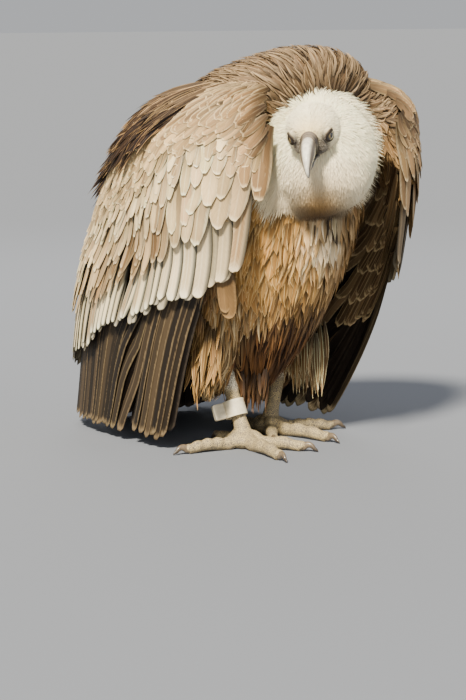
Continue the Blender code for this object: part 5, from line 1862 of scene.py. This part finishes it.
shank_up = unit(HEELS[RIGHT] - FEET[RIGHT])
shank_x = unit(np.cross((0, 1.0, 0), shank_up))
shank_y = np.cross(shank_up, shank_x)
lo, hi = (np.array(c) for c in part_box("leg_band"))
a = np.linspace(0, 2 * math.pi, 96, endpoint=False)[:, None]
b = np.linspace(0, 2 * math.pi, 28, endpoint=False)[None, :]
rise = 0.0140 * soften(np.sin(b), 0.25) + 0 * a
radius = 0.0183 + 0.0009 * soften(np.cos(b), 0.35)
spoke = np.sin(a)[..., None] * shank_x + np.cos(a)[..., None] * shank_y
q = (lo + hi) / 2 + radius[..., None] * spoke + rise[..., None] * shank_up
r, c = np.meshgrid(np.arange(96), np.arange(28), indexing="ij")
here, ahead = r * 28, (r + 1) % 96 * 28  # first points of a ring and of the one after it
faces = np.stack([here + c, here + (c + 1) % 28, ahead + (c + 1) % 28, ahead + c], axis=-1).reshape(-1, 4)
cream = np.tile(tint(214, 204, 176), (96 * 28, 1))
ring = horn_piece("leg_ring", q.reshape(-1, 3), faces, cream, RING_PLASTIC, (96, 28))
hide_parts("leg_band")
lo, hi = (np.array(c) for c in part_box("leg_band_tab"))
t = np.linspace(-math.pi / 2, math.pi / 2, 36)[:, None]
p = np.linspace(0, 2 * math.pi, 64, endpoint=False)[None, :]
turned = math.radians(-15)
tab_x = shank_x * math.cos(turned) + shank_y * math.sin(turned)
tab_y = shank_y * math.cos(turned) - shank_x * math.sin(turned)
wide = 0.0100 * soften(np.cos(t), 0.22) * soften(np.cos(p), 0.22)
deep = 0.0053 * soften(np.cos(t), 0.22) * soften(np.sin(p), 0.22)
tall = 0.0134 * soften(np.sin(t), 0.22) + 0 * p
deep = deep * (1 - 0.16 * np.exp(-(tall / 0.0012) ** 2) * (np.abs(wide) < 0.0096))
q = (lo + hi) / 2 + wide[..., None] * tab_x + deep[..., None] * tab_y + tall[..., None] * shank_up
faces, cream = grid_faces(36, 64, wrap=True), np.tile(tint(222, 212, 186), (36 * 64, 1))
tab = horn_piece("leg_ring_tab", q.reshape(-1, 3), faces, cream, RING_PLASTIC, (36, 64))
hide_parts("leg_band_tab")


# %% [markdown]
# ## Floor, light and camera
# The floor is one large plain plane. A low warm sun from the left front models the plumage. Three
# soft lamps help it: one fills the shaded side, a low one lights the belly and legs, and one behind
# lifts the edge of the back. The camera stands a little to one side of the bird's front, slightly
# above it.

# %% Stage
FLOOR = bpy.data.materials.new("floor_pale")
FLOOR.use_nodes = True
plain = FLOOR.node_tree.nodes["Principled BSDF"].inputs
plain["Base Color"].default_value, plain["Roughness"].default_value = (0.158, 0.173, 0.206, 1.0), 0.9
mesh = bpy.data.meshes.new("floor")
mesh.from_pydata([(-40, -40, 0), (40, -40, 0), (40, 40, 0), (-40, 40, 0)], [], [(0, 1, 2, 3)])
mesh.materials.append(FLOOR)
floor = bpy.data.objects.new("floor", mesh)
bpy.context.scene.collection.objects.link(floor)

world = bpy.data.worlds.new("soft_studio")
bpy.context.scene.world = world
world.use_nodes = True
world.node_tree.nodes["Background"].inputs[0].default_value = (0.95, 0.97, 1.0, 1.0)
world.node_tree.nodes["Background"].inputs[1].default_value = 0.52


def add_lamp(name, place, aim, power, size, colour):
    """A square lamp that faces a point."""
    data = bpy.data.lights.new(name, "AREA")
    data.energy, data.size, data.color = power, size, colour
    lamp = bpy.data.objects.new(name, data)
    facing = (Vector(aim) - Vector(place)).to_track_quat("-Z", "Y").to_matrix().to_4x4()
    lamp.matrix_world = Matrix.Translation(place) @ facing
    bpy.context.scene.collection.objects.link(lamp)


sun = bpy.data.lights.new("key", "SUN")
sun.energy, sun.angle, sun.color = 12.0, math.radians(9), (1.0, 0.91, 0.74)
key = bpy.data.objects.new("key", sun)
key.matrix_world = Vector((-0.777 * 0.72, -0.629 * 0.72, 0.69)).to_track_quat("Z", "Y").to_matrix().to_4x4()
bpy.context.scene.collection.objects.link(key)
add_lamp("fill", (1.8, -3.0, 1.4), (0, 0, 0.35), 20, 2.5, (0.92, 0.96, 1.0))
add_lamp("low", (-2.4, -2.6, 0.55), (0, 0, 0.10), 26, 1.2, (1.0, 0.95, 0.86))
add_lamp("rim", (1.5, 2.6, 2.2), (0, 0, 0.4), 30, 1.5, (1.0, 0.98, 0.95))

TURN_TO, LIFT, AWAY = math.radians(-35), math.radians(8), 4.3
right = Vector((math.cos(TURN_TO), math.sin(TURN_TO), 0))
back = Vector((math.sin(TURN_TO) * math.cos(LIFT), -math.cos(TURN_TO) * math.cos(LIFT), math.sin(LIFT)))
above = back.cross(right)
aim = Vector(PLACE) - right * 0.037 + above * 0.153
camera = bpy.data.objects.new("camera", bpy.data.cameras.new("camera"))
camera.data.lens, camera.data.sensor_fit = 130.1, "AUTO"
camera.data.sensor_width, camera.data.sensor_height = 36.0, 36.0
camera.matrix_world = Matrix.Translation(aim + back * AWAY) @ Matrix((right, above,
                                                                      back)).transposed().to_4x4()
bpy.context.scene.collection.objects.link(camera)
bpy.context.scene.camera = camera
print("camera", AWAY, "m from its aim")
